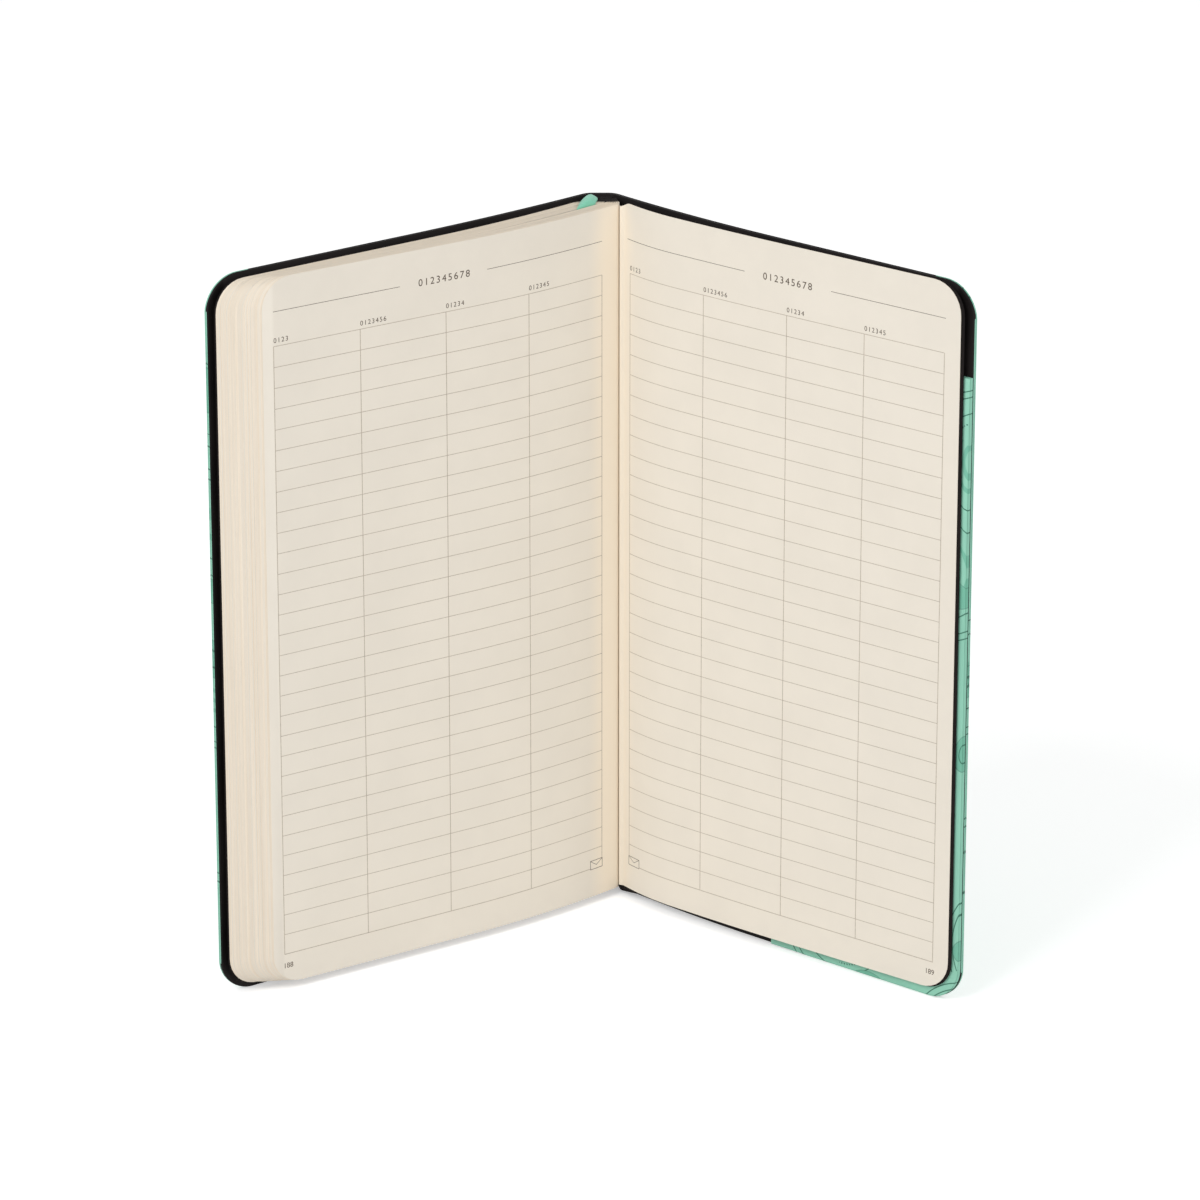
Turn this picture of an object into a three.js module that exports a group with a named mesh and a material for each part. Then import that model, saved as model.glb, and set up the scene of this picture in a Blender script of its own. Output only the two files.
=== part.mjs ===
// Soft cover notebook standing half open on its tail edges, in millimetres with +Z up.
// The spine is at the back with its middle at x = 0 and y = 0, and the pages face -Y.
// The front half, with nearly all the leaves, lies towards -X and the back half towards +X.
import * as THREE from 'three';

// Cover format
const coverWidth = 130;
const coverHeight = 210;
const coverCorner = 10.5;
const skinThickness = 0.45;
const cardThickness = 0.8;

// Leaves
const pageWidth = 126.4;
const headSquare = 0.7;
const footSquare = 2.3;
const pageCorner = 9;
const leafThickness = 0.1;
const flyleafThickness = 0.15;
const signatureCount = 12;
const blockThickness = 9;

// Spine and hinges
const spineFlat = 4.4;
const cornerRound = 3.5;
const spineTurn = 22;
const frontCornerTurn = 42;
const backCornerTurn = 46.9;
const skinHingeGap = 0.32;
const cardHingeGap = 1.5;
const creaseRun = 9;
const cardCreaseGap = 1.1;

// How the halves stand in the open pose, as turns in degrees and runs along the sheet
const frontRelax = 5.4;
const backRelax = 7;
const coverRelaxRun = 60;
const gutterTurn = 45;
const gutterRadius = 2.5;
const gutterLean = 12;
const frontHold = 0.2;
const gutterHold = 4.4;
const frontLeafRelax = 8.6;
const lastLeftRelax = 11;
const leftRelaxRun = 55;
const lastLeafHold = 5;
const lastLeafTurn = 33;
const lastLeafEase = 16;
const lastLeafEaseRun = 22;
const lastLeafRelax = 2.5;
const lastLeafRelaxRun = 40;

// Spine stack behind the leaves
const mullThickness = 0.25;
const mullShort = 6;
const ribbonThickness = 0.3;
const glueThickness = 0.3;
const threadThickness = 0.25;
const threadWidth = 1.6;
const threadRows = 4;
const threadInset = 22;
const stackNarrow = 1.2;

// Ribbon bookmark
const ribbonWidth = 5;
const ribbonMiddle = -1.7;
const ribbonGlued = 24;
const ribbonArch = 1.1;
const ribbonFoot = 28;
const ribbonLayer = 7;
const ribbonReach = 9.2;
const archSteps = 10;

// Inner back pocket
const pocketThickness = 0.3;
const pocketDepth = 0.9;
const pocketFoot = 0.3;
const pocketFootRun = 63.5;
const pocketTop = 184;
const pocketTopRun = 112;
const pocketInset = 0.3;
const gussetThickness = 0.2;
const gussetWidth = 11;
const mouthStart = 5;
const mouthBow = 1.5;
const panelSteps = 9;

// Clearances
const layerGap = 0.05;
const spineGap = 0.15;
const flyleafGap = 0.12;
const leafRootGap = 0.3;
const stubShort = 1.2;
const pocketGap = 0.1;

const radians = THREE.MathUtils.degToRad;
const pageFoot = footSquare;
const pageHead = coverHeight - headSquare;
const cardInside = cardThickness / 2;
const skinInside = cardInside + layerGap;
const skinOutside = skinInside + skinThickness;
const mullBack = cardInside + spineGap;
const ribbonBack = mullBack + mullThickness + layerGap;
const glueBack = ribbonBack + ribbonThickness + layerGap;
const threadBack = glueBack + glueThickness + layerGap;
const backboneY = -(threadBack + threadThickness + layerGap);

// A plan path starts at a point with a heading in degrees from +X. Each stretch is a run with a
// turn, so it is a straight line or an arc. The stations give place, left-hand normal and run,
// and a path that is cut short starts only after the given gap.
function planPath(start, heading, stretches, gap = 0) {
  const stations = [];
  let from = { ...start, angle: radians(heading), run: 0 };
  for (const { length, turn = 0, steps = 1, marks } of stretches) {
    const places = marks ?? Array.from({ length: steps }, (_, i) => (length * (i + 1)) / steps);
    const bend = radians(turn);
    const walk = (place) => {
      const turned = (bend * place) / length;
      const chord = turned === 0 ? place : (2 * place * Math.sin(turned / 2)) / turned;
      return {
        x: from.x + chord * Math.cos(from.angle + turned / 2),
        y: from.y + chord * Math.sin(from.angle + turned / 2),
        angle: from.angle + turned,
        run: from.run + place,
      };
    };
    const cut = gap - from.run;
    if (cut >= 0 && cut < length) stations.push(walk(cut));
    stations.push(...places.filter((place) => place > cut).map(walk));
    from = walk(length);
  }
  return stations.map(({ x, y, angle, run }) => (
    { x, y, nx: -Math.sin(angle), ny: Math.cos(angle), run, toEnd: from.run - run }));
}

const mirrored = (stations) => stations.map((s) => ({ ...s, x: -s.x, nx: -s.nx }));

// Marks along a last straight stretch that ends in rounded corners, closer round the corner.
function cornerMarks(length, radius, steps = 6) {
  const marks = [];
  for (let i = 0; i <= steps; i += 1) {
    marks.push(length - radius * (1 - Math.sin((Math.PI / 2) * (i / steps))));
  }
  return marks;
}

// How far a rounded corner has drawn the edge in at a distance from the sheet's end.
function cornerInset(radius, toEnd) {
  const into = Math.max(0, radius - toEnd);
  return radius - Math.sqrt(Math.max(0, radius * radius - into * into));
}

// A closed body lofted through rings of points, with flat caps on the first and last ring.
function loft(rings, capFlat) {
  const size = rings[0].length;
  const positions = rings.flat(2);
  const faces = [];
  for (let i = 0; i + 1 < rings.length; i += 1) {
    for (let j = 0; j < size; j += 1) {
      const a = i * size + j;
      const b = i * size + ((j + 1) % size);
      faces.push([a, b, b + size], [a, b + size, a + size]);
    }
  }
  const cap = THREE.ShapeUtils.triangulateShape(capFlat.map(([u, v]) => new THREE.Vector2(u, v)), []);
  const last = (rings.length - 1) * size;
  for (const [a, b, c] of cap) {
    faces.push([a, c, b], [last + a, last + b, last + c]);
  }
  let volume = 0;
  const corner = (i) => new THREE.Vector3().fromArray(positions, 3 * i);
  for (const [a, b, c] of faces) volume += corner(a).dot(corner(b).cross(corner(c)));
  const order = volume > 0 ? faces : faces.map(([a, b, c]) => [a, c, b]);
  const geometry = new THREE.BufferGeometry();
  geometry.setAttribute('position', new THREE.Float32BufferAttribute(positions, 3));
  geometry.setIndex(order.flat());
  geometry.computeVertexNormals();
  return geometry;
}

// The side of a path at an offset along its left-hand normal.
const sideOf = (stations, offset) =>
  stations.map((s) => ({ ...s, x: s.x + s.nx * offset, y: s.y + s.ny * offset }));

// An upright sheet between two sides that have the same number of stations.
function uprightSheet(sideA, sideB, low, high) {
  const rings = sideA.map((a, i) => {
    const b = sideB[i];
    return [[a.x, a.y, low(a)], [b.x, b.y, low(b)], [b.x, b.y, high(b)], [a.x, a.y, high(a)]];
  });
  return loft(rings, [[0, 0], [1, 0], [1, 1], [0, 1]]);
}

const paint = {
  mint: new THREE.MeshStandardMaterial({ color: 0x85c7af, roughness: 0.55, metalness: 0 }),
  black: new THREE.MeshStandardMaterial({ color: 0x241e20, roughness: 0.75, metalness: 0 }),
  paper: new THREE.MeshStandardMaterial({ color: 0xe8ddcb, roughness: 0.9, metalness: 0 }),
  thread: new THREE.MeshStandardMaterial({ color: 0xf2ede2, roughness: 0.8, metalness: 0 }),
  cloth: new THREE.MeshStandardMaterial({ color: 0xd9d2c4, roughness: 0.95, metalness: 0 }),
  glue: new THREE.MeshStandardMaterial({ color: 0xece4cf, roughness: 0.4, metalness: 0 }),
  ribbon: new THREE.MeshStandardMaterial({ color: 0x7fcfb0, roughness: 0.6, metalness: 0 }),
};

const notebook = new THREE.Group();
function add(name, geometry, material) {
  const mesh = new THREE.Mesh(geometry, material);
  mesh.name = name;
  notebook.add(mesh);
  return mesh;
}

// Cover. The path of the cover runs through the middle of its card. The hinge line stands in the
// middle of the skin, halfway round each corner of the spine.
const spineHalf = planPath({ x: 0, y: 0 }, 0, [
  { length: spineFlat / 2 },
  { length: cornerRound * radians(spineTurn), turn: -spineTurn, steps: 3 },
]);
const hingeStation = spineHalf[spineHalf.length - 1];

function coverPath(gap, { turn, relax }) {
  const corner = cornerRound * radians(turn - spineTurn);
  const straight = coverWidth - corner - coverRelaxRun;
  return planPath(hingeStation, -spineTurn, [
    { length: corner, turn: spineTurn - turn, steps: 3 },
    { length: coverRelaxRun, turn: relax, steps: 8 },
    { length: straight, marks: cornerMarks(straight, coverCorner) },
  ], gap);
}

function spinePath(gap) {
  const corner = cornerRound * radians(spineTurn) - gap;
  const half = planPath({ x: 0, y: 0 }, 0, [
    { length: spineFlat / 2 },
    { length: corner, turn: (-spineTurn * corner) / (corner + gap), steps: 3 },
  ]);
  return [...mirrored(half).reverse().slice(0, -1), ...half];
}

// The stretch of a cover between two runs from the hinge.
function coverStretch(from, to, bend) {
  return [...coverPath(from, bend).filter((s) => s.run < to), coverPath(to, bend)[0]];
}

const coverLow = (s) => cornerInset(coverCorner, s.toEnd);
const coverHigh = (s) => coverHeight - cornerInset(coverCorner, s.toEnd);
const fullLow = () => 0;
const fullHigh = () => coverHeight;

function coverSheet(path, inside, outside) {
  return uprightSheet(sideOf(path, inside), sideOf(path, outside), coverLow, coverHigh);
}

const frontBend = { turn: frontCornerTurn, relax: frontRelax };
const backBend = { turn: backCornerTurn, relax: backRelax };
const backSkinPath = coverPath(creaseRun + skinHingeGap, backBend);
const backCardPath = coverPath(creaseRun + cardCreaseGap, backBend);
const backJointSkinPath = coverStretch(skinHingeGap, creaseRun - skinHingeGap, backBend);
const backJointCardPath = coverStretch(cardHingeGap, creaseRun - cardCreaseGap, backBend);
const frontSkinPath = mirrored(coverPath(skinHingeGap, frontBend));
const frontCardPath = mirrored(coverPath(cardHingeGap, frontBend));

add('front_cover_skin', coverSheet(frontSkinPath, skinInside, skinOutside), paint.mint);
add('front_cover_card', coverSheet(frontCardPath, -cardInside, cardInside), paint.black);
add('back_cover_skin', coverSheet(backSkinPath, skinInside, skinOutside), paint.mint);
add('back_cover_card', coverSheet(backCardPath, -cardInside, cardInside), paint.black);
add('back_joint_skin', coverSheet(backJointSkinPath, skinInside, skinOutside), paint.mint);
add('back_joint_card', coverSheet(backJointCardPath, -cardInside, cardInside), paint.black);

const spineSkinPath = spinePath(skinHingeGap);
const spineCardLength = spineFlat / 2;
const spineCardPath = planPath({ x: -spineCardLength, y: 0 }, 0, [{ length: spineFlat }]);
add('spine_skin', uprightSheet(
  sideOf(spineSkinPath, skinInside), sideOf(spineSkinPath, skinOutside), fullLow, fullHigh), paint.mint);
add('spine_card', uprightSheet(
  sideOf(spineCardPath, -cardInside), sideOf(spineCardPath, cardInside), fullLow, fullHigh), paint.black);

// Text block. A leaf's place in the block runs from 0 at the front cover to 1 at the open page.
// Each leaf leaves the backbone, holds straight for a while, turns tightly and then relaxes.
const mix = (a, b, place) => a + (b - a) * place;

function leafSide(place, width = pageWidth) {
  const lean = gutterLean * place;
  const hold = mix(frontHold, gutterHold, place);
  const tight = gutterRadius * radians(gutterTurn + lean);
  const straight = width - hold - tight - leftRelaxRun;
  const start = { x: blockThickness * (0.5 - place), y: backboneY };
  return mirrored(planPath(start, -90 - lean, [
    { length: hold },
    { length: tight, turn: gutterTurn + lean, steps: 6 },
    { length: leftRelaxRun, turn: mix(frontLeafRelax, lastLeftRelax, place), steps: 8 },
    { length: straight, marks: cornerMarks(straight, pageCorner) },
  ]));
}

const pageLow = (s) => pageFoot + cornerInset(pageCorner, s.toEnd);
const pageHigh = (s) => pageHead - cornerInset(pageCorner, s.toEnd);

const ribbonPitch = ribbonThickness + 2 * layerGap;
for (let i = 0; i < signatureCount; i += 1) {
  const pitch = 1 / signatureCount;
  const gap = layerGap / blockThickness;
  const spare = i + 1 === ribbonLayer ? ribbonPitch / blockThickness : 0;
  const front = leafSide(i * pitch + gap / 2);
  const back = leafSide((i + 1) * pitch - gap / 2 - spare);
  const number = String(i + 1).padStart(2, '0');
  add(`signature_${number}`, uprightSheet(front, back, pageLow, pageHigh), paint.paper);
}

// The front flyleaf lies against the first signature.
const flyleafSide = (extra) => leafSide(-(flyleafGap + extra) / blockThickness);
add('front_flyleaf', uprightSheet(
  flyleafSide(flyleafThickness), flyleafSide(0), pageLow, pageHigh), paint.black);

// The last leaf and the back flyleaf lie against the block as far as the gutter. Their sewn stub
// stays with the backbone, and they turn where it ends.
const lastLeafTight = gutterRadius * radians(lastLeafTurn - gutterLean);
const stubPath = planPath({ x: blockThickness / 2 + flyleafGap, y: backboneY }, -90 + gutterLean, [
  { length: lastLeafHold },
  { length: lastLeafTight, turn: lastLeafTurn - gutterLean, steps: 4 },
], stubShort);
const leafRoot = stubPath[stubPath.length - 1];
const stubThickness = leafThickness + flyleafGap + flyleafThickness;
add('last_leaf_stub', uprightSheet(
  sideOf(stubPath, 0), sideOf(stubPath, stubThickness), () => pageFoot, () => pageHead), paint.paper);

const lastLeafWidth = pageWidth - lastLeafHold - lastLeafTight;
const lastLeafEnd = lastLeafWidth - lastLeafEaseRun - lastLeafRelaxRun;
const lastLeaf = planPath(leafRoot, -90 + lastLeafTurn, [
  { length: lastLeafEaseRun, turn: lastLeafEase, steps: 6 },
  { length: lastLeafRelaxRun, turn: lastLeafRelax, steps: 4 },
  { length: lastLeafEnd, marks: cornerMarks(lastLeafEnd, pageCorner) },
], leafRootGap);
add('last_leaf', uprightSheet(
  sideOf(lastLeaf, 0), sideOf(lastLeaf, leafThickness), pageLow, pageHigh), paint.paper);
const flyleafBack = leafThickness + flyleafGap;
add('back_flyleaf', uprightSheet(
  sideOf(lastLeaf, flyleafBack), sideOf(lastLeaf, flyleafBack + flyleafThickness),
  pageLow, pageHigh), paint.black);

// Spine stack: rows of sewing thread, glue, the ribbon's glued end and the mull.
function block(x0, x1, y0, y1, z0, z1) {
  const geometry = new THREE.BoxGeometry(x1 - x0, y1 - y0, z1 - z0);
  return geometry.translate((x0 + x1) / 2, (y0 + y1) / 2, (z0 + z1) / 2);
}

const halfStack = blockThickness / 2 - stackNarrow;
for (let i = 0; i < threadRows; i += 1) {
  const z = mix(pageFoot + threadInset, pageHead - threadInset, i / (threadRows - 1));
  add(`sewing_thread_${i + 1}`, block(
    -halfStack, halfStack, -threadBack - threadThickness, -threadBack,
    z - threadWidth / 2, z + threadWidth / 2), paint.thread);
}
add('backbone_glue', block(
  -halfStack, halfStack, -glueBack - glueThickness, -glueBack, pageFoot, pageHead), paint.glue);
add('mull', block(
  -halfStack, halfStack, -mullBack - mullThickness, -mullBack,
  pageFoot + mullShort, pageHead - mullShort), paint.cloth);

// Ribbon bookmark. It is glued behind the backbone at the head, arches over the head of the leaves
// and lies down between two signatures. A grid of points, along and across, gets its thickness.
function thickStrip(grid, thickness) {
  const vector = (a, b) => new THREE.Vector3(...b).sub(new THREE.Vector3(...a));
  const rings = grid.map((row, i) => {
    const faces = row.map((point, j) => {
      const along = vector(grid[Math.max(0, i - 1)][j], grid[Math.min(grid.length - 1, i + 1)][j]);
      const across = vector(row[Math.max(0, j - 1)], row[Math.min(row.length - 1, j + 1)]);
      const half = along.cross(across).setLength(thickness / 2);
      return [1, -1].map((side) => half.clone().multiplyScalar(side).add(new THREE.Vector3(...point)));
    });
    const upper = faces.map(([point]) => point.toArray());
    const under = faces.map(([, point]) => point.toArray()).reverse();
    return [...upper, ...under];
  });
  const columns = grid[0].map((_, j) => [j, 0]);
  const flat = [...columns, ...columns.map(([j]) => [j, 1]).reverse()];
  return loft(rings, flat);
}

function ribbonGrid() {
  const across = 6;
  const place = ribbonLayer / signatureCount - ribbonPitch / blockThickness / 2;
  const leaf = leafSide(place);
  const atRun = (run) => {
    const next = leaf.findIndex((s) => s.run >= run);
    const a = leaf[next - 1];
    const b = leaf[next];
    const share = (run - a.run) / (b.run - a.run);
    return [mix(a.x, b.x, share), mix(a.y, b.y, share)];
  };
  const behind = -(ribbonBack + ribbonThickness / 2);
  const columns = Array.from(
    { length: across + 1 }, (_, j) => ribbonMiddle + ribbonWidth * (0.5 - j / across));
  const glued = columns.map((x) => [x, behind]);
  const laid = columns.map((x) => atRun(ribbonReach - x));
  const row = (share, z) => glued.map(([x, y], j) => (
    [mix(x, laid[j][0], share), mix(y, laid[j][1], share), z]));
  const rows = [row(0, pageHead - ribbonGlued), row(0, pageHead - ribbonGlued / 2)];
  for (let i = 0; i <= archSteps; i += 1) {
    const angle = (Math.PI * i) / archSteps;
    rows.push(row((1 - Math.cos(angle)) / 2, pageHead + ribbonArch * Math.sin(angle)));
  }
  rows.push(row(1, mix(pageHead, ribbonFoot, 0.5)), row(1, ribbonFoot));
  return rows;
}
add('ribbon_bookmark', thickStrip(ribbonGrid(), ribbonThickness), paint.ribbon);

// Inner back pocket: a panel over two folded gussets, one along the foot and one along the fore edge.
const panelBack = -(cardInside + pocketDepth);
const panelFront = panelBack - pocketThickness;
const cardFace = -(cardInside + pocketGap);
const panelFace = panelBack + layerGap;
const pocketEnd = coverWidth - pocketInset;

const pocketPath = (from, to) =>
  coverStretch(from, to, backBend).map((s) => ({ ...s, toEnd: s.toEnd - pocketInset }));

const pocketCorner = coverCorner - pocketInset;
const panelLow = (s) => pocketFoot + cornerInset(pocketCorner, s.toEnd);
function panelHigh(s) {
  const share = Math.min(1, (s.run - pocketFootRun) / (pocketTopRun - pocketFootRun));
  return mix(pocketFoot + mouthStart, pocketTop, 1 - (1 - share) ** mouthBow);
}

const panelRuns = [];
for (let i = 0; i < panelSteps; i += 1) {
  panelRuns.push(mix(pocketFootRun, pocketTopRun, i / panelSteps));
}
const panelPath = [
  ...panelRuns.map((run) => coverPath(run, backBend)[0]).map((s) => (
    { ...s, toEnd: s.toEnd - pocketInset })),
  ...pocketPath(pocketTopRun, pocketEnd),
];
add('pocket_panel', uprightSheet(
  sideOf(panelPath, panelBack), sideOf(panelPath, panelFront), panelLow, panelHigh), paint.mint);

// A gusset is a strip folded once. Its section has two legs and a fold at the inner end, written
// as an offset from the cover's path and a reach from the open edge towards the fold.
const gussetSection = [
  [cardFace, 0], [cardFace, gussetWidth], [panelFace, gussetWidth], [panelFace, 0],
  [panelFace + gussetThickness, 0], [panelFace + gussetThickness, gussetWidth - gussetThickness],
  [cardFace - gussetThickness, gussetWidth - gussetThickness], [cardFace - gussetThickness, 0],
];
const footGussetPath = pocketPath(pocketFootRun + gussetWidth, coverWidth - coverCorner - gussetWidth / 2);
add('pocket_foot_gusset', loft(
  footGussetPath.map((s) => gussetSection.map(([offset, reach]) => (
    [s.x + s.nx * offset, s.y + s.ny * offset, pocketFoot + reach]))), gussetSection), paint.mint);
const sideGussetAt = (z) => gussetSection.map(([offset, reach]) => {
  const [s] = coverPath(pocketEnd - reach, backBend);
  return [s.x + s.nx * offset, s.y + s.ny * offset, z];
});
add('pocket_side_gusset', loft(
  [sideGussetAt(pocketFoot + pocketCorner + gussetWidth / 2), sideGussetAt(pocketTop)],
  gussetSection), paint.mint);

export default notebook;
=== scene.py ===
"""Builds the looks of a soft cover notebook that stands open on its tail edges."""
import math

import bmesh
import bpy
import numpy as np
from bpy.props import FloatProperty, FloatVectorProperty, IntProperty, PointerProperty
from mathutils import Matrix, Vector


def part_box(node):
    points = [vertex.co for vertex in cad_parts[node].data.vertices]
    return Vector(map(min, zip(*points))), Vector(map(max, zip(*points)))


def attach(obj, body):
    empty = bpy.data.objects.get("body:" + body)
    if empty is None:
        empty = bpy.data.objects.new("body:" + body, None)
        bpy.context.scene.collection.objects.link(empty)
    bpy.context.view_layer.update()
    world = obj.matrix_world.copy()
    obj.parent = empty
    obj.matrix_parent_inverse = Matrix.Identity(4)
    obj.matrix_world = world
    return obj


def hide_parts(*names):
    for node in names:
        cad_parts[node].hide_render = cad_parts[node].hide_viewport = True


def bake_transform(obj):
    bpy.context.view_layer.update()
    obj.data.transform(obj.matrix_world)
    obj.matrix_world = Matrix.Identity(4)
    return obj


bl_info = {
    "name": "Standing Soft Cover Notebook",
    "version": (1, 0, 0),
    "blender": (4, 5, 0),
    "location": "View3D > Sidebar > Notebook",
    "description": "Builds a notebook that stands open, around its packed frame",
    "category": "Add Mesh",
}

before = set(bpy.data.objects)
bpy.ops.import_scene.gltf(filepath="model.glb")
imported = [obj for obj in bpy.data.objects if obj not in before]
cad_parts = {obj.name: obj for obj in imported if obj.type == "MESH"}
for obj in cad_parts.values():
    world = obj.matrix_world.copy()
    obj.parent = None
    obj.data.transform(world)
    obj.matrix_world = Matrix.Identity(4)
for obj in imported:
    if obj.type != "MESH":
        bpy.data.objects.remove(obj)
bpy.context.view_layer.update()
SKIN_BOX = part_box("back_cover_skin")
LEAF_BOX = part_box("signature_01")
SPINE_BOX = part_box("spine_card")
SOAKED_GLUE = (0.012, 0.009, 0.008)
# Gap in metres between the block's end leaves and the leaves that are glued beside them
TIP_GAP = 0.00012
# Heights in metres of an ink bar's two faces over the paper
INK_FACES = (0.000012, -0.000004)


def length(name, description, default):
    """A size in metres that a user may change."""
    return FloatProperty(name=name, description=description, default=default, unit="LENGTH")


def plain(name, description, default):
    """A number without a unit that a user may change."""
    return FloatProperty(name=name, description=description, default=default)


def tally(name, description, default):
    """A whole number that a user may change."""
    return IntProperty(name=name, description=description, default=default)


def turn(name, description, degrees):
    """An angle that a user may change."""
    return FloatProperty(
        name=name, description=description, default=math.radians(degrees), subtype="ANGLE")


def tint(name, description, colour):
    """A colour that a user may change."""
    return FloatVectorProperty(
        name=name, description=description, default=colour, size=3, min=0, max=1, subtype="COLOR")


class NOTEBOOK_PG_cover(bpy.types.PropertyGroup):
    """Sizes and colours of the cover, its lining and the pocket."""

    width: length("Cover width", "From the spine hinge to the fore edge", 0.130)
    height: length("Cover height", "From tail to head", SKIN_BOX[1][2])
    corner: length("Corner radius", "Radius of the cover's outer corners", 0.0105)
    board: length("Board thickness", "Thickness of the black lining board", 0.0008)
    skin: length("Skin thickness", "Thickness of the printed skin", 0.00048)
    spine_flat: length("Spine flat", "Flat width of the spine", SPINE_BOX[1][0] - SPINE_BOX[0][0])
    corner_round: length("Spine corner", "Radius of the cover's bend beside the spine", 0.0035)
    hinge_turn: turn("Hinge turn", "Turn from the spine to the hinge line", 22)
    front_turn: turn("Front turn", "Whole turn from the spine to the front cover", 42)
    back_turn: turn("Back turn", "Whole turn from the spine to the back cover", 46.9)
    front_relax: turn("Front relax", "How far the front cover bends back towards flat", 5.4)
    back_relax: turn("Back relax", "How far the back cover bends back towards flat", 7)
    relax_run: length("Relax run", "Run over which a cover bends back", 0.060)
    crease: length("Crease", "Run from the hinge to the back cover's crease", 0.009)
    mint: tint("Mint", "Main colour of the printed skin", (0.262, 0.585, 0.445))
    deep_mint: tint("Deep mint", "Colour of the printed shapes", (0.150, 0.450, 0.322))
    line_green: tint("Line green", "Colour of the printed thin lines", (0.020, 0.140, 0.085))
    black: tint("Lining black", "Colour of the lining and the cut edges", (0.0100, 0.0080, 0.0078))
    pocket_front: length("Pocket depth", "From the board's middle to the panel's middle", 0.00145)
    pocket_panel: length("Panel thickness", "Thickness of the pocket's panel", 0.0003)
    pocket_inset: length("Pocket inset", "From the cover's fore edge to the pocket's", 0.0003)
    pocket_foot: length("Pocket foot", "Height of the pocket's foot", 0.0003)
    pocket_foot_run: length("Mouth foot", "Run from the hinge to the mouth's foot", 0.0635)
    pocket_top_run: length("Mouth top", "Run from the hinge to the mouth's top", 0.112)
    pocket_top: length("Pocket top", "Height of the pocket at the fore edge", 0.184)


class NOTEBOOK_PG_leaves(bpy.types.PropertyGroup):
    """Sizes and colours of the leaves."""

    width: length("Leaf width", "From the fold to the fore edge", 0.1264)
    foot: length("Leaf foot", "Height of the leaves' tail edge", LEAF_BOX[0][2])
    head: length("Leaf head", "Height of the leaves' head edge", LEAF_BOX[1][2])
    corner: length("Leaf corner", "Radius of the leaves' outer corners", 0.009)
    backbone: length("Backbone", "Where the folds stand behind the leaves", LEAF_BOX[1][1])
    block: length("Block thickness", "Thickness of all the leaves at the folds", 0.009)
    signatures: tally("Signatures", "Number of sewn sections", 12)
    sheets: tally("Sheets", "Folded sheets in a section", 4)
    air: length("Air", "Air between two sections", 0.00005)
    ribbon_room: length("Ribbon room", "Room for the ribbon between two sections", 0.0004)
    ribbon_section: tally("Ribbon section", "Section that the ribbon lies after", 7)
    gutter_turn: turn("Gutter turn", "Turn of a leaf beside the gutter", 45)
    gutter_lean: turn("Gutter lean", "How far the last fold leans", 12)
    gutter_radius: length("Gutter radius", "Radius of that turn", 0.0025)
    front_hold: length("Front hold", "Straight start of the first leaf", 0.0002)
    last_hold: length("Last hold", "Straight start of the last leaf", 0.0044)
    front_relax: turn("Front relax", "How far the first leaf bends back", 8.6)
    last_relax: turn("Last relax", "How far the open left page bends back", 11)
    relax_run: length("Relax run", "Run over which a leaf bends back", 0.055)
    right_hold: length("Right hold", "Straight start of the right leaf", 0.005)
    right_turn: turn("Right turn", "Turn of the right leaf beside the gutter", 33)
    right_ease: turn("Right ease", "How far the right leaf then bends out", 16)
    right_ease_run: length("Right ease run", "Run over which it bends out", 0.022)
    right_relax: turn("Right relax", "Last slow bend of the right leaf", 2.5)
    right_relax_run: length("Right relax run", "Run of that last bend", 0.040)
    fullness: plain("Fullness", "Share of the block that is paper and not air", 0.92)
    right_foot: length("Right foot", "Height of the right leaf's tail edge", 0.0032)
    right_head: length("Right head", "Height of the right leaf's head edge", 0.21015)
    glued_run: length("Glued run", "Run of the right leaf that is glued to the section", 0.0061)
    fold_dip: length("Head dip", "How far the right leaf's head falls beside the fold", 0.0018)
    black_sag: length("Black sag", "How far the black leaf's foot hangs beside the fold", 0.0021)
    fan: length("Fan", "How much further out the first leaf ends than the open page", 0.0012)
    black_edge: length("Black edge", "How far the back black leaf stands past the page", 0.00105)
    paper: tint("Paper", "Colour of the leaves", (0.790, 0.735, 0.645))
    cut_paper: tint("Cut paper", "Colour of the leaves' cut edges", (0.850, 0.755, 0.630))
    ink: tint("Ink", "Colour of the printed tables", (0.46, 0.40, 0.33))
    dark_ink: tint("Dark ink", "Colour of the printed figures", (0.085, 0.062, 0.045))


class NOTEBOOK_PG_table(bpy.types.PropertyGroup):
    """Where the printed table lies on the pages."""

    rows: tally("Rows", "Rows of the table", 30)
    pitch: length("Row pitch", "Height of one row", 0.00596)
    foot: length("Table foot", "Height of the lowest rule", 0.01115)
    head_rule: length("Head rule", "Height of the rule above the table", 0.1998)
    weight: length("Rule weight", "Width of a printed rule", 0.00022)


class NOTEBOOK_PG_ribbon(bpy.types.PropertyGroup):
    """Size and colour of the ribbon bookmark."""

    width: length("Ribbon width", "Width of the ribbon", 0.005)
    middle: length("Ribbon middle", "Middle of its glued end", -0.0017)
    thickness: length("Ribbon thickness", "Thickness of the ribbon", 0.00028)
    behind: length("Ribbon back", "Depth of its glued end", -0.0010)
    glued: length("Glued run", "Run that is glued down behind the leaves", 0.024)
    arch: length("Arch", "Rise over the head of the leaves", 0.0014)
    pinch: plain("Pinch", "Share of its width that it has behind the head", 0.3)
    pinch_middle: length("Pinch middle", "Middle of the pinched ribbon", -0.0029)
    laid_run: length("Laid run", "Run from the folds to the middle of the laid ribbon", 0.0104)
    laid_width: length("Laid width", "Width of the ribbon where it lies flat", 0.0068)
    tail: length("Tail", "Height of its cut end", 0.028)
    colour: tint("Ribbon colour", "Colour of the woven ribbon", (0.205, 0.610, 0.430))


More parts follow.
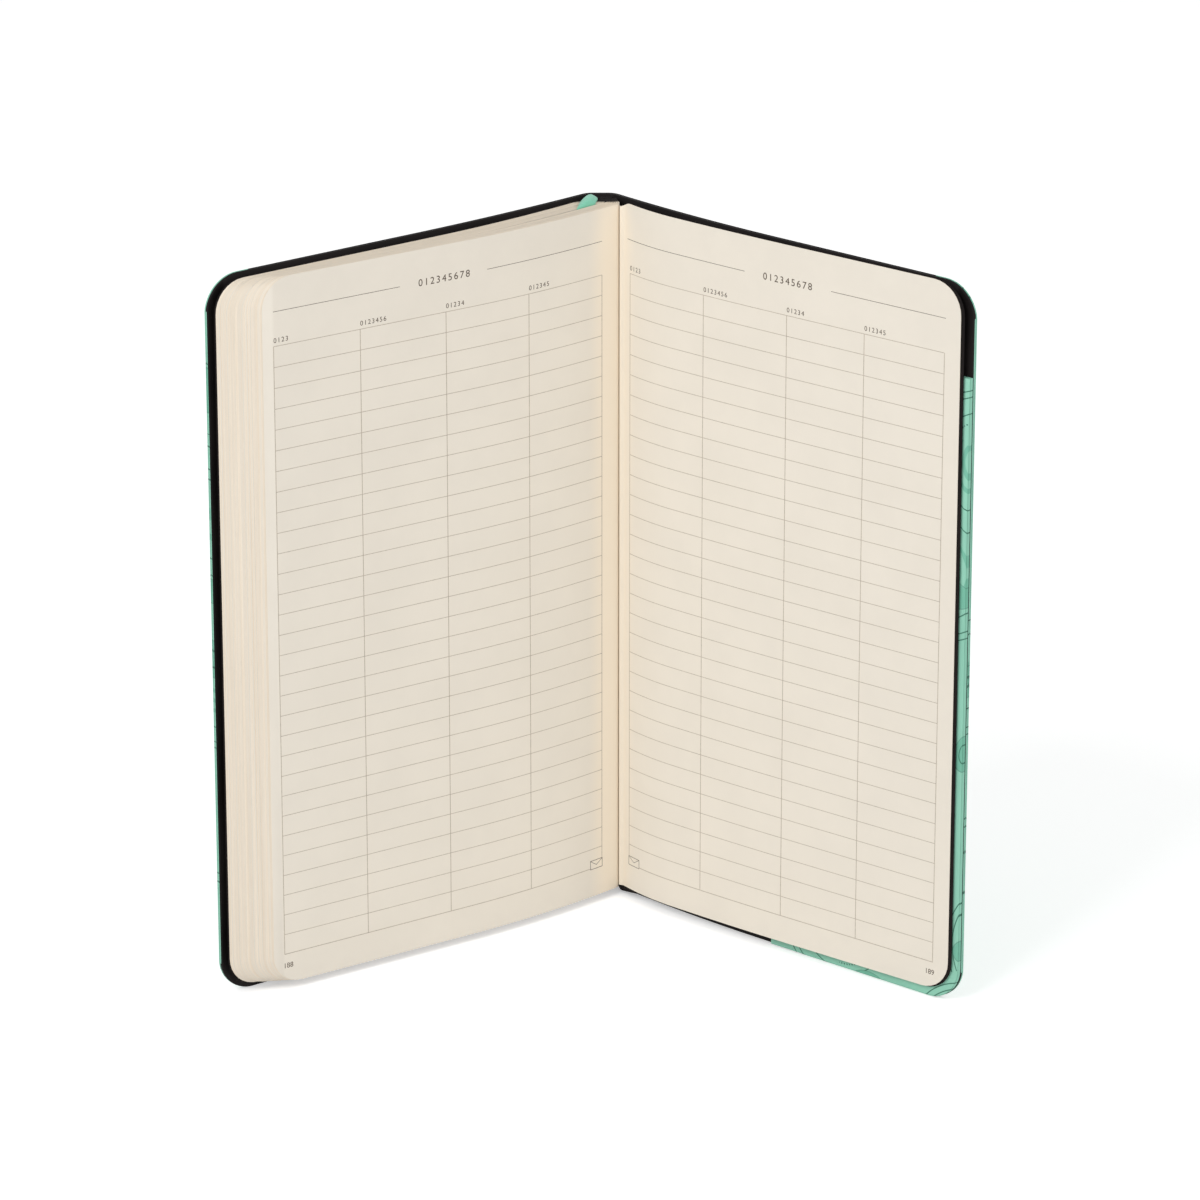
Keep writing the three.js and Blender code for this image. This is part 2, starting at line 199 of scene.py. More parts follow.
class NOTEBOOK_PG_stage(bpy.types.PropertyGroup):
    """Camera and light."""

    aim_height: length("Aim height", "Height that the camera looks at", 0.105)
    aim_depth: length("Aim depth", "Depth that the camera looks at", -0.04512)
    distance: length("Distance", "From the camera to what it looks at", 1.7842)
    elevation: turn("Elevation", "How far the camera looks down", 20.3)
    lens: plain("Lens", "Focal length in millimetres", 191.37)
    key: plain("Key light", "Power of the main light in watts", 10.3)
    fill: plain("Fill light", "Power of the fill light in watts", 5)
    sky: plain("Sky", "Strength of the light all round", 0.55)
    floor_glow: plain("Floor glow", "Glow of the floor that the camera sees", 0.43)


def sizes(group):
    """The scene's settings of that group."""
    return getattr(bpy.context.scene, f"notebook_{group}")


# Lines in plan


def plan_line(run, start, heading, stretches):
    """Place and heading at each run along a plan line of (length, turn) stretches. A stretch is
    straight or an even arc: its chord is the run times sin(turn / 2) / (turn / 2), and it leaves
    at half the turn. The last stretch goes on past its end."""
    run = np.asarray(run, float)
    x, y, angle = (np.full(run.shape, v, float) for v in (*start, heading))
    (px, py), pa, done = start, heading, 0.0
    for reach, bend in stretches:
        def walk(place):
            turned = bend * place / reach
            chord = place * np.sinc(turned / (2 * np.pi))
            return (px + chord * np.cos(pa + turned / 2), py + chord * np.sin(pa + turned / 2),
                    pa + turned)
        here = run >= done
        nx, ny, na = walk(run - done)
        x, y, angle = np.where(here, nx, x), np.where(here, ny, y), np.where(here, na, angle)
        px, py, pa = (float(v) for v in walk(np.asarray(reach)))
        done += reach
    return x, y, angle


def hinge_run():
    """Run from the middle of the spine to a hinge line."""
    c = sizes("cover")
    return c.spine_flat / 2 + c.corner_round * c.hinge_turn


def cover_place(run, offset, side):
    """Point of a cover at a run from the middle of the spine and an offset outwards from the
    board's middle. The line is flat, turns round the spine's corner, then bends back slowly.
    Side is 1 for the back cover and -1 for the front cover, which is its mirror image."""
    c = sizes("cover")
    whole, relax = (c.back_turn, c.back_relax) if side > 0 else (c.front_turn, c.front_relax)
    corner = c.corner_round * (whole - c.hinge_turn)
    x, y, angle = plan_line(run, (0.0, 0.0), 0.0, (
        (c.spine_flat / 2, 0.0), (c.corner_round * c.hinge_turn, -c.hinge_turn),
        (corner, c.hinge_turn - whole), (c.relax_run, relax), (c.width, 0.0)))
    return np.stack([side * (x - np.sin(angle) * offset), y + np.cos(angle) * offset], -1)


def left_leaf_place(run, place, lift=0.0):
    """Point of a left leaf at a run from its fold, lifted towards the open page. Place is 0 at the
    front cover and 1 at the open page: the fold leans, holds straight, turns tightly, then bends
    back, all in step with it."""
    f = sizes("leaves")
    lean = f.gutter_lean * place
    hold = f.front_hold + (f.last_hold - f.front_hold) * place
    relax = f.front_relax + (f.last_relax - f.front_relax) * place
    x, y, angle = plan_line(run, (f.block * (0.5 - place), f.backbone), -np.pi / 2 - lean, (
        (hold, 0.0), (f.gutter_radius * (f.gutter_turn + lean), f.gutter_turn + lean),
        (f.relax_run, relax), (f.width, 0.0)))
    return np.stack([-x - np.sin(angle) * lift, y - np.cos(angle) * lift], -1)


def right_leaf_place(run, offset):
    """Point of the right leaf at a run from its fold and an offset behind its open page: it holds
    straight along the block, turns at the gutter, bends out over a short run, then slowly."""
    f = sizes("leaves")
    tight = f.right_turn - f.gutter_lean
    x, y, angle = plan_line(run, (f.block / 2 + TIP_GAP, f.backbone), -np.pi / 2 + f.gutter_lean, (
        (f.right_hold, 0.0), (f.gutter_radius * tight, tight), (f.right_ease_run, f.right_ease),
        (f.right_relax_run, f.right_relax), (f.width, 0.0)))
    return np.stack([x - np.sin(angle) * offset, y + np.cos(angle) * offset], -1)


def smooth(value, low, high):
    """Share s from 0 at low to 1 at high, even at both ends: s squared times (3 - 2 s)."""
    share = np.clip((value - low) / (high - low), 0, 1)
    return share * share * (3 - 2 * share)


def corner_inset(radius, to_end):
    """How far a round corner draws the edge in: radius - root(radius squared - depth squared)."""
    into = np.clip(radius - to_end, 0, radius)
    return radius - np.sqrt(np.clip(radius ** 2 - into ** 2, 0, None))


def corner_runs(end, radius, steps):
    """Runs round a corner that ends at end, at even angles: end - radius (1 - sin(angle))."""
    return end - radius * (1 - np.sin(np.linspace(0, np.pi / 2, steps + 1)))


# Meshes


def upright(run, low, high, rows, place):
    """Grid of points: each run's plan point, stood at rows of even heights from low to high."""
    share = np.linspace(0, 1, rows)
    z = low[:, None] + (high - low)[:, None] * share
    xy = np.broadcast_to(place[:, None, :], (len(run), rows, 2))
    return np.concatenate([xy, z[..., None]], -1)


def shell(face_a, face_b, run, rim=0.0, steps=0, finish=(0, 0, 0)):
    """Closed shell between two grids of points that face away from each other. Round each long
    edge the loop crosses on a half ellipse: middle + half thickness cos + rim sin. Returns points,
    faces, each face's finish (face a, rim, face b) and each point's run and height."""
    n, m = face_a.shape[:2]
    middle, half = (face_a + face_b) / 2, (face_a - face_b) / 2
    phi = np.pi * np.arange(1, steps + 1) / (steps + 1)

    def edge(row, inner, sign):
        out = middle[:, row] - middle[:, inner]
        out /= np.linalg.norm(out, axis=-1, keepdims=True)
        return (middle[:, row, None] + sign * half[:, row, None] * np.cos(phi)[:, None]
                + rim * out[:, None] * np.sin(phi)[:, None])

    loop = np.concatenate([face_a, edge(-1, -2, 1), face_b[:, ::-1], edge(0, 1, -1)], 1)
    size = loop.shape[1]
    i, j = np.meshgrid(np.arange(n - 1), np.arange(size), indexing="ij")
    k = (j + 1) % size
    quads = np.stack([i * size + j, i * size + k, (i + 1) * size + k, (i + 1) * size + j], -1)
    zone = np.full(size, finish[1])
    zone[: m - 1] = finish[0]
    zone[m + steps: 2 * m + steps - 1] = finish[2]
    zones = np.broadcast_to(zone, (n - 1, size)).copy()
    a = np.arange(m - 1)
    b = 2 * m + steps - 1 - a
    cap = np.stack([a, a + 1, b - 1, b], -1)
    top = np.arange(m - 1, m + steps + 1)
    foot = np.concatenate([[0], np.arange(2 * m + steps - 1, size)])
    faces = quads.reshape(-1, 4).tolist()
    marks = zones.reshape(-1).tolist()
    for ring in (0, n - 1):
        flats = cap.tolist() + ([top.tolist(), foot.tolist()] if steps else [])
        faces += [[ring * size + v for v in flat] for flat in flats]
        marks += [finish[1]] * len(flats)
    sheet = np.stack([np.broadcast_to(np.asarray(run)[:, None], (n, size)), loop[..., 2]], -1)
    return loop.reshape(-1, 3), faces, marks, sheet.reshape(-1, 2)


def joined(parts):
    """Several shells as one: points end to end, with each shell's faces counted on."""
    starts = np.cumsum([0] + [len(p[0]) for p in parts])
    faces = [[v + int(s) for v in face] for p, s in zip(parts, starts) for face in p[1]]
    marks = [mark for p in parts for mark in p[2]]
    points, sheet = (np.concatenate([p[i] for p in parts]) for i in (0, 3))
    return points, faces, marks, sheet


def make_piece(name, solid, materials, crease=40):
    """A piece from a shell's points and faces. Its UV map "Sheet" holds run and height in metres,
    faces point outwards, and edges sharper than the crease angle stay sharp."""
    points, faces, marks, sheet = solid
    mesh = bpy.data.meshes.new(name)
    mesh.from_pydata(points.tolist(), [], faces)
    for material in materials:
        mesh.materials.append(material)
    mesh.polygons.foreach_set("material_index", np.asarray(marks, np.int32))
    corners = np.empty(len(mesh.loops), np.int32)
    mesh.loops.foreach_get("vertex_index", corners)
    uv = mesh.uv_layers.new(name="Sheet")
    uv.data.foreach_set("uv", np.asarray(sheet, np.float32)[corners].ravel())
    work = bmesh.new()
    work.from_mesh(mesh)
    bmesh.ops.recalc_face_normals(work, faces=work.faces)
    work.to_mesh(mesh)
    work.free()
    mesh.polygons.foreach_set("use_smooth", np.ones(len(mesh.polygons), bool))
    mesh.set_sharp_from_angle(angle=math.radians(crease))
    piece = bpy.data.objects.new(name, mesh)
    bpy.context.scene.collection.objects.link(piece)
    return piece


def point3(xy, z):
    """A plan point with its height, as a tuple."""
    return (float(xy[0]), float(xy[1]), float(z))


# Materials


def put(tree, kind, inputs=(), **settings):
    """A new node in the tree with its plain settings, and its inputs fed from pairs of a key and
    a value."""
    node = tree.nodes.new(kind)
    for key, value in settings.items():
        setattr(node, key, value)
    for key, value in inputs:
        feed(tree, node.inputs[key], value)
    return node


def feed(tree, socket, value):
    """Joins a socket to another node's output, or sets its value."""
    if isinstance(value, bpy.types.NodeSocket):
        tree.links.new(value, socket)
    else:
        socket.default_value = value


def number(tree, operation, *values):
    """Output of a Math node on sockets or numbers."""
    return put(tree, "ShaderNodeMath", enumerate(values), operation=operation).outputs[0]


def vector(tree, operation, *values):
    """Output of a Vector Math node on sockets or vectors."""
    return put(tree, "ShaderNodeVectorMath", enumerate(values), operation=operation).outputs[0]


def axes(tree, place):
    """The three numbers of a place."""
    return put(tree, "ShaderNodeSeparateXYZ", [(0, place)]).outputs[:]


def flat_place(tree, x, y):
    """A place made of two numbers."""
    return put(tree, "ShaderNodeCombineXYZ", [(0, x), (1, y)]).outputs[0]


def apart(tree, value, middle):
    """How far a number is from the middle, on either side."""
    return number(tree, "ABSOLUTE", number(tree, "SUBTRACT", value, middle))


def mix(tree, factor, a, b):
    """Colour mixed from a at factor 0 to b at factor 1."""
    ends = [v if isinstance(v, bpy.types.NodeSocket) else (*v, 1) for v in (a, b)]
    return put(tree, "ShaderNodeMix", [(0, factor), (6, ends[0]), (7, ends[1])],
               data_type="RGBA").outputs[2]


def ramp(tree, value, low, high, to_low=0.0, to_high=1.0):
    """Value carried smoothly from the range low to high to the range to_low to to_high."""
    return put(tree, "ShaderNodeMapRange", enumerate((value, low, high, to_low, to_high)),
               interpolation_type="SMOOTHSTEP").outputs[0]


def noise(tree, place, scale, detail=2.0, rough=0.5):
    """Soft noise from 0 to 1 on a place."""
    return put(tree, "ShaderNodeTexNoise", (
        ("Vector", place), ("Scale", scale), ("Detail", detail),
        ("Roughness", rough))).outputs["Fac"]


def shade(colour, *share):
    """A colour times one share or three, each part at most 1."""
    return tuple(min(1.0, v * s) for v, s in zip(colour, share * 3))


def shared(name, inputs, outputs, wire):
    """A shader node group, built once. Wire gets the tree and its input sockets and returns the
    output values in order."""
    if name in bpy.data.node_groups:
        return bpy.data.node_groups[name]
    tree = bpy.data.node_groups.new(name, "ShaderNodeTree")
    for label, kind, default in inputs:
        socket = tree.interface.new_socket(label, in_out="INPUT", socket_type=kind)
        if default is not None:
            socket.default_value = default
    for label, kind in outputs:
        tree.interface.new_socket(label, in_out="OUTPUT", socket_type=kind)
    given, made = put(tree, "NodeGroupInput"), put(tree, "NodeGroupOutput")
    for socket, value in zip(made.inputs, wire(tree, given.outputs)):
        feed(tree, socket, value)
    return tree


def use(tree, group, **values):
    """Outputs of a shared group's node with its inputs fed."""
    return put(tree, "ShaderNodeGroup", values.items(), node_tree=group).outputs


def grain_group():
    """Fine grain of a coated skin: small round cells with a slow drift of tone."""
    def wire(tree, given):
        cells = put(tree, "ShaderNodeTexVoronoi", (
            ("Vector", given["Place"]), ("Scale", given["Scale"])), feature="SMOOTH_F1")
        fine = noise(tree, given["Place"], number(tree, "MULTIPLY", given["Scale"], 2.2), 3)
        height = number(tree, "MULTIPLY_ADD", fine, 0.5, cells.outputs["Distance"])
        drift = noise(tree, given["Place"], 38.0, 3)
        return height, drift
    return shared("Skin grain", (("Place", "NodeSocketVector", None),
                                 ("Scale", "NodeSocketFloat", 1500.0)),
                  (("Height", "NodeSocketFloat"), ("Drift", "NodeSocketFloat")), wire)


def fibre_group():
    """Paper: short fibres at two scales and faint clouds in the sheet."""
    def wire(tree, given):
        fibre = noise(tree, given["Place"], 2600.0, 4, 0.7)
        speck = noise(tree, given["Place"], 900.0, 2)
        cloud = noise(tree, given["Place"], 55.0, 4, 0.6)
        return number(tree, "ADD", fibre, number(tree, "MULTIPLY", speck, 0.4)), cloud
    return shared("Paper fibre", (("Place", "NodeSocketVector", None),),
                  (("Height", "NodeSocketFloat"), ("Cloud", "NodeSocketFloat")), wire)


def weave_group():
    """Plain weave: waves of warp and weft out of step, as a height and a shade."""
    def wire(tree, given):
        across, along, _ = axes(tree, given["Place"])
        warp, weft = (
            number(tree, "SINE", number(tree, "MULTIPLY", number(
                tree, "MULTIPLY", place, given[count]), math.tau))
            for place, count in ((across, "Warp"), (along, "Weft")))
        over = number(tree, "MULTIPLY", warp, weft)
        height = number(tree, "ADD", number(tree, "ABSOLUTE", warp),
                        number(tree, "MULTIPLY", number(tree, "ABSOLUTE", weft), 0.7))
        return height, number(tree, "MULTIPLY_ADD", over, 0.5, 0.5)
    return shared("Plain weave", (("Place", "NodeSocketVector", None),
                                  ("Warp", "NodeSocketFloat", 2500.0),
                                  ("Weft", "NodeSocketFloat", 2500.0)),
                  (("Height", "NodeSocketFloat"), ("Over", "NodeSocketFloat")), wire)


def print_group():
    """Tone on tone print of outlined pebbles, long thin arcs, dotted arcs and short sheaves. Each
    lies about the middle of its own Voronoi cell, turned and chosen by the cell's random colour.
    Place and the cells' spread are in metres, and the shapes in a cell are in millimetres."""
    def wire(tree, given):
        def cells(spread, shift):
            place = vector(tree, "MULTIPLY_ADD", given["Place"], (1 / spread,) * 3, shift)
            node = put(tree, "ShaderNodeTexVoronoi", (
                ("Vector", place), ("Scale", 1.0), ("Randomness", 0.8)), voronoi_dimensions="2D")
            chance = put(tree, "ShaderNodeSeparateColor", [(0, node.outputs["Color"])]).outputs
            spin = put(tree, "ShaderNodeVectorRotate", (
                ("Vector", vector(tree, "SUBTRACT", place, node.outputs["Position"])),
                ("Angle", number(tree, "MULTIPLY", chance[0], math.tau))), rotation_type="Z_AXIS")
            x, y, _ = axes(tree, vector(tree, "MULTIPLY", spin.outputs[0], (spread * 1000,) * 3))
            return x, y, chance

        def hypot(a, b):
            return number(tree, "SQRT", number(
                tree, "MULTIPLY_ADD", a, a, number(tree, "MULTIPLY", b, b)))

        def band(value, middle, half):
            return ramp(tree, apart(tree, value, middle), half, half * 0.8)

        def times(*values):
            total = values[0]
            for value in values[1:]:
                total = number(tree, "MULTIPLY", total, value)
            return total

        x, y, chance = cells(0.026, (0.3, 0.7, 0))
        oval = hypot(number(tree, "DIVIDE", x, 6.5), number(tree, "DIVIDE", y, 4.0))
        chosen = number(tree, "GREATER_THAN", chance[1], 0.35)
        pebble = times(ramp(tree, oval, 1.0, 0.97), chosen)
        ringed = number(tree, "GREATER_THAN", chance[2], 0.5)
        rim = times(band(oval, 1.0, 0.03), chosen, 0.55)
        vein = times(band(oval, 0.6, 0.035), chosen, ringed)

        x, y, chance = cells(0.047, (4.1, 2.6, 0))
        reach = hypot(x, y)
        angle = number(tree, "ARCTAN2", y, x)
        facing = number(tree, "COSINE", angle)
        many = number(tree, "GREATER_THAN", chance[1], 0.45)
        single, *pair = (band(reach, radius, 0.18) for radius in (15.0, 19.4, 21.2))
        pair = times(number(tree, "MAXIMUM", *pair), many)
        lines = times(number(tree, "MAXIMUM", single, pair),
                      number(tree, "GREATER_THAN", facing, -0.35))
        sheaf = number(tree, "FRACT", number(tree, "DIVIDE", reach, 2.9))
        sheaf = ramp(tree, apart(tree, sheaf, 0.5), 0.22, 0.19)
        sheaf = times(sheaf, many, number(tree, "LESS_THAN", reach, 11.6),
                      number(tree, "GREATER_THAN", reach, 2.9),
                      number(tree, "GREATER_THAN", facing, 0.45))
        step = number(tree, "FRACT", number(tree, "MULTIPLY", angle, 13.4))
        dot = hypot(number(tree, "MULTIPLY", number(tree, "SUBTRACT", step, 0.5), 0.93),
                    number(tree, "SUBTRACT", reach, 12.5))
        dots = times(ramp(tree, dot, 0.26, 0.20), number(tree, "LESS_THAN", facing, 0.4))
        clear = number(tree, "SUBTRACT", 1.0, pebble)
        deep = number(tree, "MAXIMUM", pebble, times(sheaf, clear))
        line = number(tree, "MAXIMUM", number(tree, "MAXIMUM", rim, vein),
                      times(number(tree, "MAXIMUM", dots, lines), clear))
        return deep, line
    return shared("Tone print", (("Place", "NodeSocketVector", None),),
                  (("Deep", "NodeSocketFloat"), ("Line", "NodeSocketFloat")), wire)


def new_material(name, roughness, sheen=0.0):
    """A material with its Principled shader. Returns it with its tree and shader."""
    material = bpy.data.materials.new(name)
    material.use_nodes = True
    tree = material.node_tree
    shader = tree.nodes["Principled BSDF"]
    shader.inputs["Roughness"].default_value = roughness
    shader.inputs["Sheen Weight"].default_value = sheen
    return material, tree, shader


def sheet_place(tree):
    """The piece's own run and height in metres."""
    return put(tree, "ShaderNodeUVMap", uv_map="Sheet").outputs[0]


def object_place(tree):
    """Place in the row frame in metres."""
    return put(tree, "ShaderNodeTexCoord").outputs["Object"]


def coat(tree, shader, colour, rough, height=None, strength=0.0, distance=0.0):
    """Feeds the shader's colour and roughness, and its normal from a bump of that height."""
    feed(tree, shader.inputs["Base Color"], colour)
    feed(tree, shader.inputs["Roughness"], rough)
    if height is not None:
        relief = put(tree, "ShaderNodeBump", (
            ("Height", height), ("Strength", strength), ("Distance", distance)))
        feed(tree, shader.inputs["Normal"], relief.outputs[0])


def printed_skin(name, shift, roughness, paper=False):
    """Mint skin or pocket paper with the tone print, slow drift of tone, and grain or fibre."""
    c = sizes("cover")
    material, tree, shader = new_material(name, roughness)
    prints = use(tree, print_group(), Place=vector(tree, "ADD", sheet_place(tree), shift))
    height, drift = use(
        tree, fibre_group() if paper else grain_group(), Place=object_place(tree))[:]
    colour = mix(tree, ramp(tree, drift, 0.3, 0.7), shade(c.mint, 0.96), shade(c.mint, 1.04))
    colour = mix(tree, number(tree, "MULTIPLY", prints["Deep"], 0.9), colour, tuple(c.deep_mint))
    colour = mix(tree, number(tree, "MULTIPLY", prints["Line"], 0.95), colour, tuple(c.line_green))
    coat(tree, shader, colour, ramp(tree, drift, 0.2, 0.8, roughness - 0.06, roughness + 0.06),
         height, 0.25, 0.00004)
    return material


def black_lining(name, roughness, scale):
    """Near black coated board or paper with a fine grain and a slow drift of tone."""
    c = sizes("cover")
    material, tree, shader = new_material(name, roughness)
    shader.inputs["Specular IOR Level"].default_value = 0.1
    grain = use(tree, grain_group(), Place=object_place(tree), Scale=scale)
    colour = mix(tree, ramp(tree, grain["Drift"], 0.3, 0.7), shade(c.black, 0.8),
                 shade(c.black, 1.35))
    rough = ramp(tree, grain["Drift"], 0.2, 0.8, roughness - 0.07, roughness + 0.07)
    coat(tree, shader, colour, rough, grain["Height"], 0.35, 0.00005)
    return material


def leaf_paper(name, colour, roughness=0.88):
    """Uncoated paper: fibres in the bump, faint clouds in the colour, painted light that makes it
    lighter and yellower to either side of the gutter, where the open pages light each other,
    and black with soaked glue at both ends of the folds."""
    material, tree, shader = new_material(name, roughness)
    spot = object_place(tree)
    fibre = use(tree, fibre_group(), Place=spot)
    x, y, z = axes(tree, spot)
    even = mix(tree, ramp(tree, fibre["Cloud"], 0.3, 0.7), shade(colour, 0.985),
               shade(colour, 1.015))
    # Painted light: within a few millimetres of the gutter the paper is made lighter and yellower,
    # where the two open pages light each other
    gutter_x, gutter_light_near, gutter_light_far = 0.0032, 0.0010, 0.0070
    warm = ramp(tree, apart(tree, x, gutter_x), gutter_light_near, gutter_light_far, 1.0, 0.0)
    gutter_lit_paper = mix(tree, warm, even, shade(colour, 1.14, 1.09, 1.02))
    middle, half = (LEAF_BOX[0][2] + LEAF_BOX[1][2]) / 2, (LEAF_BOX[1][2] - LEAF_BOX[0][2]) / 2
    at_end = ramp(tree, apart(tree, z, middle), half - 0.0010, half - 0.0006)
    soaked = number(tree, "MULTIPLY", ramp(tree, y, -0.0056, -0.0046), at_end)
    rough = ramp(tree, fibre["Height"], 0.4, 1.0, roughness - 0.05, roughness + 0.05)
    coat(tree, shader, mix(tree, soaked, gutter_lit_paper, SOAKED_GLUE), rough, fibre["Height"],
         0.2, 0.00002)
    return material


def cut_paper(name, colour, streaks):
    """Cut edges of the leaves: pale, warm and a little rough, and black with soaked glue beside
    the folds. Streaks follow each leaf's place in the block, which the stack's UV map holds."""
    material, tree, shader = new_material(name, 0.92)
    shader.inputs["Specular IOR Level"].default_value = 0.2
    fibre = use(tree, fibre_group(), Place=object_place(tree))
    tone = ramp(tree, fibre["Cloud"], 0.3, 0.7)
    if streaks:
        leaf, up, _ = axes(tree, sheet_place(tree))
        line = flat_place(tree, leaf, number(tree, "MULTIPLY", up, 0.004))
        tone = ramp(tree, noise(tree, line, 1500.0, 4, 0.75), 0.32, 0.68)
    cut = mix(tree, tone, shade(colour, 0.93, 0.90, 0.86), shade(colour, 1.03))
    soaked = ramp(tree, axes(tree, object_place(tree))[1], -0.0066, -0.0054)
    rough = ramp(tree, fibre["Height"], 0.4, 1.0, 0.86, 0.96)
    coat(tree, shader, mix(tree, soaked, cut, SOAKED_GLUE), rough, fibre["Height"], 0.3, 0.00003)
    return material


def printed_ink(name, colour):
    """Ink that the paper has partly drunk: its tone wavers with the fibres."""
    material, tree, shader = new_material(name, 0.8)
    shader.inputs["Specular IOR Level"].default_value = 0.15
    fibre = use(tree, fibre_group(), Place=object_place(tree))
    tone = ramp(tree, fibre["Height"], 0.4, 1.0)
    coat(tree, shader, mix(tree, tone, shade(colour, 0.85), shade(colour, 1.25)),
         ramp(tree, fibre["Cloud"], 0.2, 0.8, 0.74, 0.86))
    return material


def woven_cloth(name, colour, warp, weft, roughness, depth, on_sheet=True, sheen=0.3):
    """Woven threads: painted shade darkens the colour between the threads, and the crossings stand
    up in the bump.
    """
    material, tree, shader = new_material(name, roughness, sheen)
    place = sheet_place(tree) if on_sheet else object_place(tree)
    if not on_sheet:
        x, _, z = axes(tree, place)
        place = flat_place(tree, x, z)
    weave = use(tree, weave_group(), Place=place, Warp=warp, Weft=weft)
    fuzz = noise(tree, place, 1800.0, 3)
    # Painted shade: the colour is darker between the threads and lighter on their crowns, over a
    # random fuzz
    fuzz_and_thread_shade = number(tree, "MULTIPLY_ADD", fuzz, 0.35, number(tree, "MULTIPLY", weave["Height"], 0.5))
    rough = ramp(tree, weave["Over"], 0, 1, roughness - 0.08, roughness + 0.08)
    coat(tree, shader, mix(tree, ramp(tree, fuzz_and_thread_shade, 0.1, 0.9), shade(colour, 0.62),
                           shade(colour, 1.12)), rough, weave["Height"], 0.6, depth)
    return material


def dried_glue():
    """Black flexible glue with a soft gloss and brushed ridges."""
    material, tree, shader = new_material("Backbone glue", 0.38)
    spot = object_place(tree)
    ridge = noise(tree, vector(tree, "MULTIPLY", spot, (1, 1, 0.12)), 700.0, 3)
    coat(tree, shader, mix(tree, ridge, (0.010, 0.008, 0.008), (0.022, 0.018, 0.017)),
         ramp(tree, ridge, 0.3, 0.7, 0.3, 0.5), ridge, 0.5, 0.00015)
    return material


MATERIALS = {
    "mint": lambda: printed_skin("Printed mint skin", (0.0, 0.0, 0.0), 0.5),
    "pocket": lambda: printed_skin("Printed pocket paper", (0.346, 0.21, 0.0), 0.62, paper=True),
    "pocket_fold": lambda: leaf_paper("Pocket fold paper", tuple(sizes("cover").mint), 0.66),
    "lining": lambda: black_lining("Black lining", 0.56, 1500.0),
    "flyleaf": lambda: black_lining("Black flyleaf paper", 0.8, 2600.0),
    "paper": lambda: leaf_paper("Leaf paper", tuple(sizes("leaves").paper)),
    "cut_paper": lambda: cut_paper("Cut paper", tuple(sizes("leaves").cut_paper), False),
    "cut_stack": lambda: cut_paper("Cut leaf stack", tuple(sizes("leaves").cut_paper), True),
    "ink": lambda: printed_ink("Table ink", tuple(sizes("leaves").ink)),
    "dark_ink": lambda: printed_ink("Figure ink", tuple(sizes("leaves").dark_ink)),
    "ribbon": lambda: woven_cloth(
        "Woven ribbon", tuple(sizes("ribbon").colour), 1900.0, 1250.0, 0.5, 0.00006, sheen=0.2),
    "mull": lambda: woven_cloth(
        "Open mull", (0.030, 0.026, 0.025), 620.0, 620.0, 0.9, 0.0001, on_sheet=False),
    "thread": lambda: woven_cloth(
        "Sewing thread", (0.86, 0.82, 0.73), 3000.0, 1900.0, 0.7, 0.00008, on_sheet=False),
    "glue": dried_glue,
}
_made = {}


def stuff(name):
    """The finished material of that name, built the first time it is asked for."""
    if name not in _made:
        _made[name] = MATERIALS[name]()
    return _made[name]


# Pieces


def cover_shell(start, end, side, inner, outer, edge_mark, face_marks):
    """Part of a cover from one run to another, between two offsets, with round long edges and,
    at the fore edge, a taper to a round end: half thickness times root(1 - depth squared). Faces
    within edge_mark of the fore edge take the outer face's finish."""
    c = sizes("cover")
    hinge = hinge_run()
    fore = hinge + c.width
    runs = [np.linspace(start, end, max(3, int((end - start) / 0.0035)))]
    if end >= fore:
        runs = [np.linspace(start, fore - c.corner, 34)[:-1], corner_runs(fore, c.corner, 14)]
    runs += [np.linspace(hinge - 0.0015, hinge + 0.0025, 12), np.linspace(
        hinge + c.crease - 0.002, hinge + c.crease + 0.002, 9)]
    run = np.unique(np.round(np.concatenate(runs), 7))
    run = run[(run > start - 1e-6) & (run < min(end, fore) + 1e-6)]
    run[0], run[-1] = start, min(end, fore)
    to_end = fore - run
    thick = outer - inner
    taper = np.sqrt(1 - np.clip(1 - to_end / (thick / 2), 0, 0.98) ** 2)
    inset = corner_inset(c.corner, to_end)
    rim = min(0.00022, thick / 2)
    low, high = inset + rim, c.height - inset - rim
    mid = (inner + outer) / 2
    faces = [upright(run, low, high, 8, cover_place(run, mid + sign * thick / 2 * taper, side))
             for sign in (1, -1)]
    points, flat, marks, sheet = shell(
        *faces, side * run, rim=rim, steps=3, finish=(face_marks[0], 1, face_marks[1]))
    if end >= fore:
        last = fore - edge_mark
        near = np.array([max(abs(sheet[v][0]) for v in face) > last for face in flat])
        marks = [0 if n and m == 1 else m for n, m in zip(near, marks)]
    return points, flat, marks, sheet


def blend_points(at, side, offset, before, after):
    z = sizes("cover").height / 2
    runs = np.array([at - before, at + after])
    xy = cover_place(runs, offset, side)
    return point3(xy[0], z), point3(xy[1], z)


def cover_set(prefix, inner, outer, materials, marks, edge, nodes):
    """The front cover with half of the spine, the other half with the back joint, and the back
    cover."""
    hinge, c = hinge_run(), sizes("cover")
    crease, middle, fore = hinge + c.crease, hinge + c.crease / 2, hinge + c.width
    offset = (inner + outer) / 2
    plans = (("front", 0.0, fore, -1, ("book", "front_cover"), hinge),
             ("spine", 0.0, middle, 1, ("book", "back_joint"), hinge),
             ("back", middle, fore, 1, ("back_joint", "back_cover"), crease))
    for (part, start, end, side, bodies, fold), stands_for in zip(plans, nodes):
        solid = cover_shell(start, end, side, inner, outer, edge, marks)
        piece = make_piece(f"{prefix}_{part}", solid, [stuff(m) for m in materials])
        low, high = blend_points(fold, side, offset, 0.0012, 0.0018)
        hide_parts(*stands_for)
        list(bodies)
        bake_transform(piece)
        yield piece


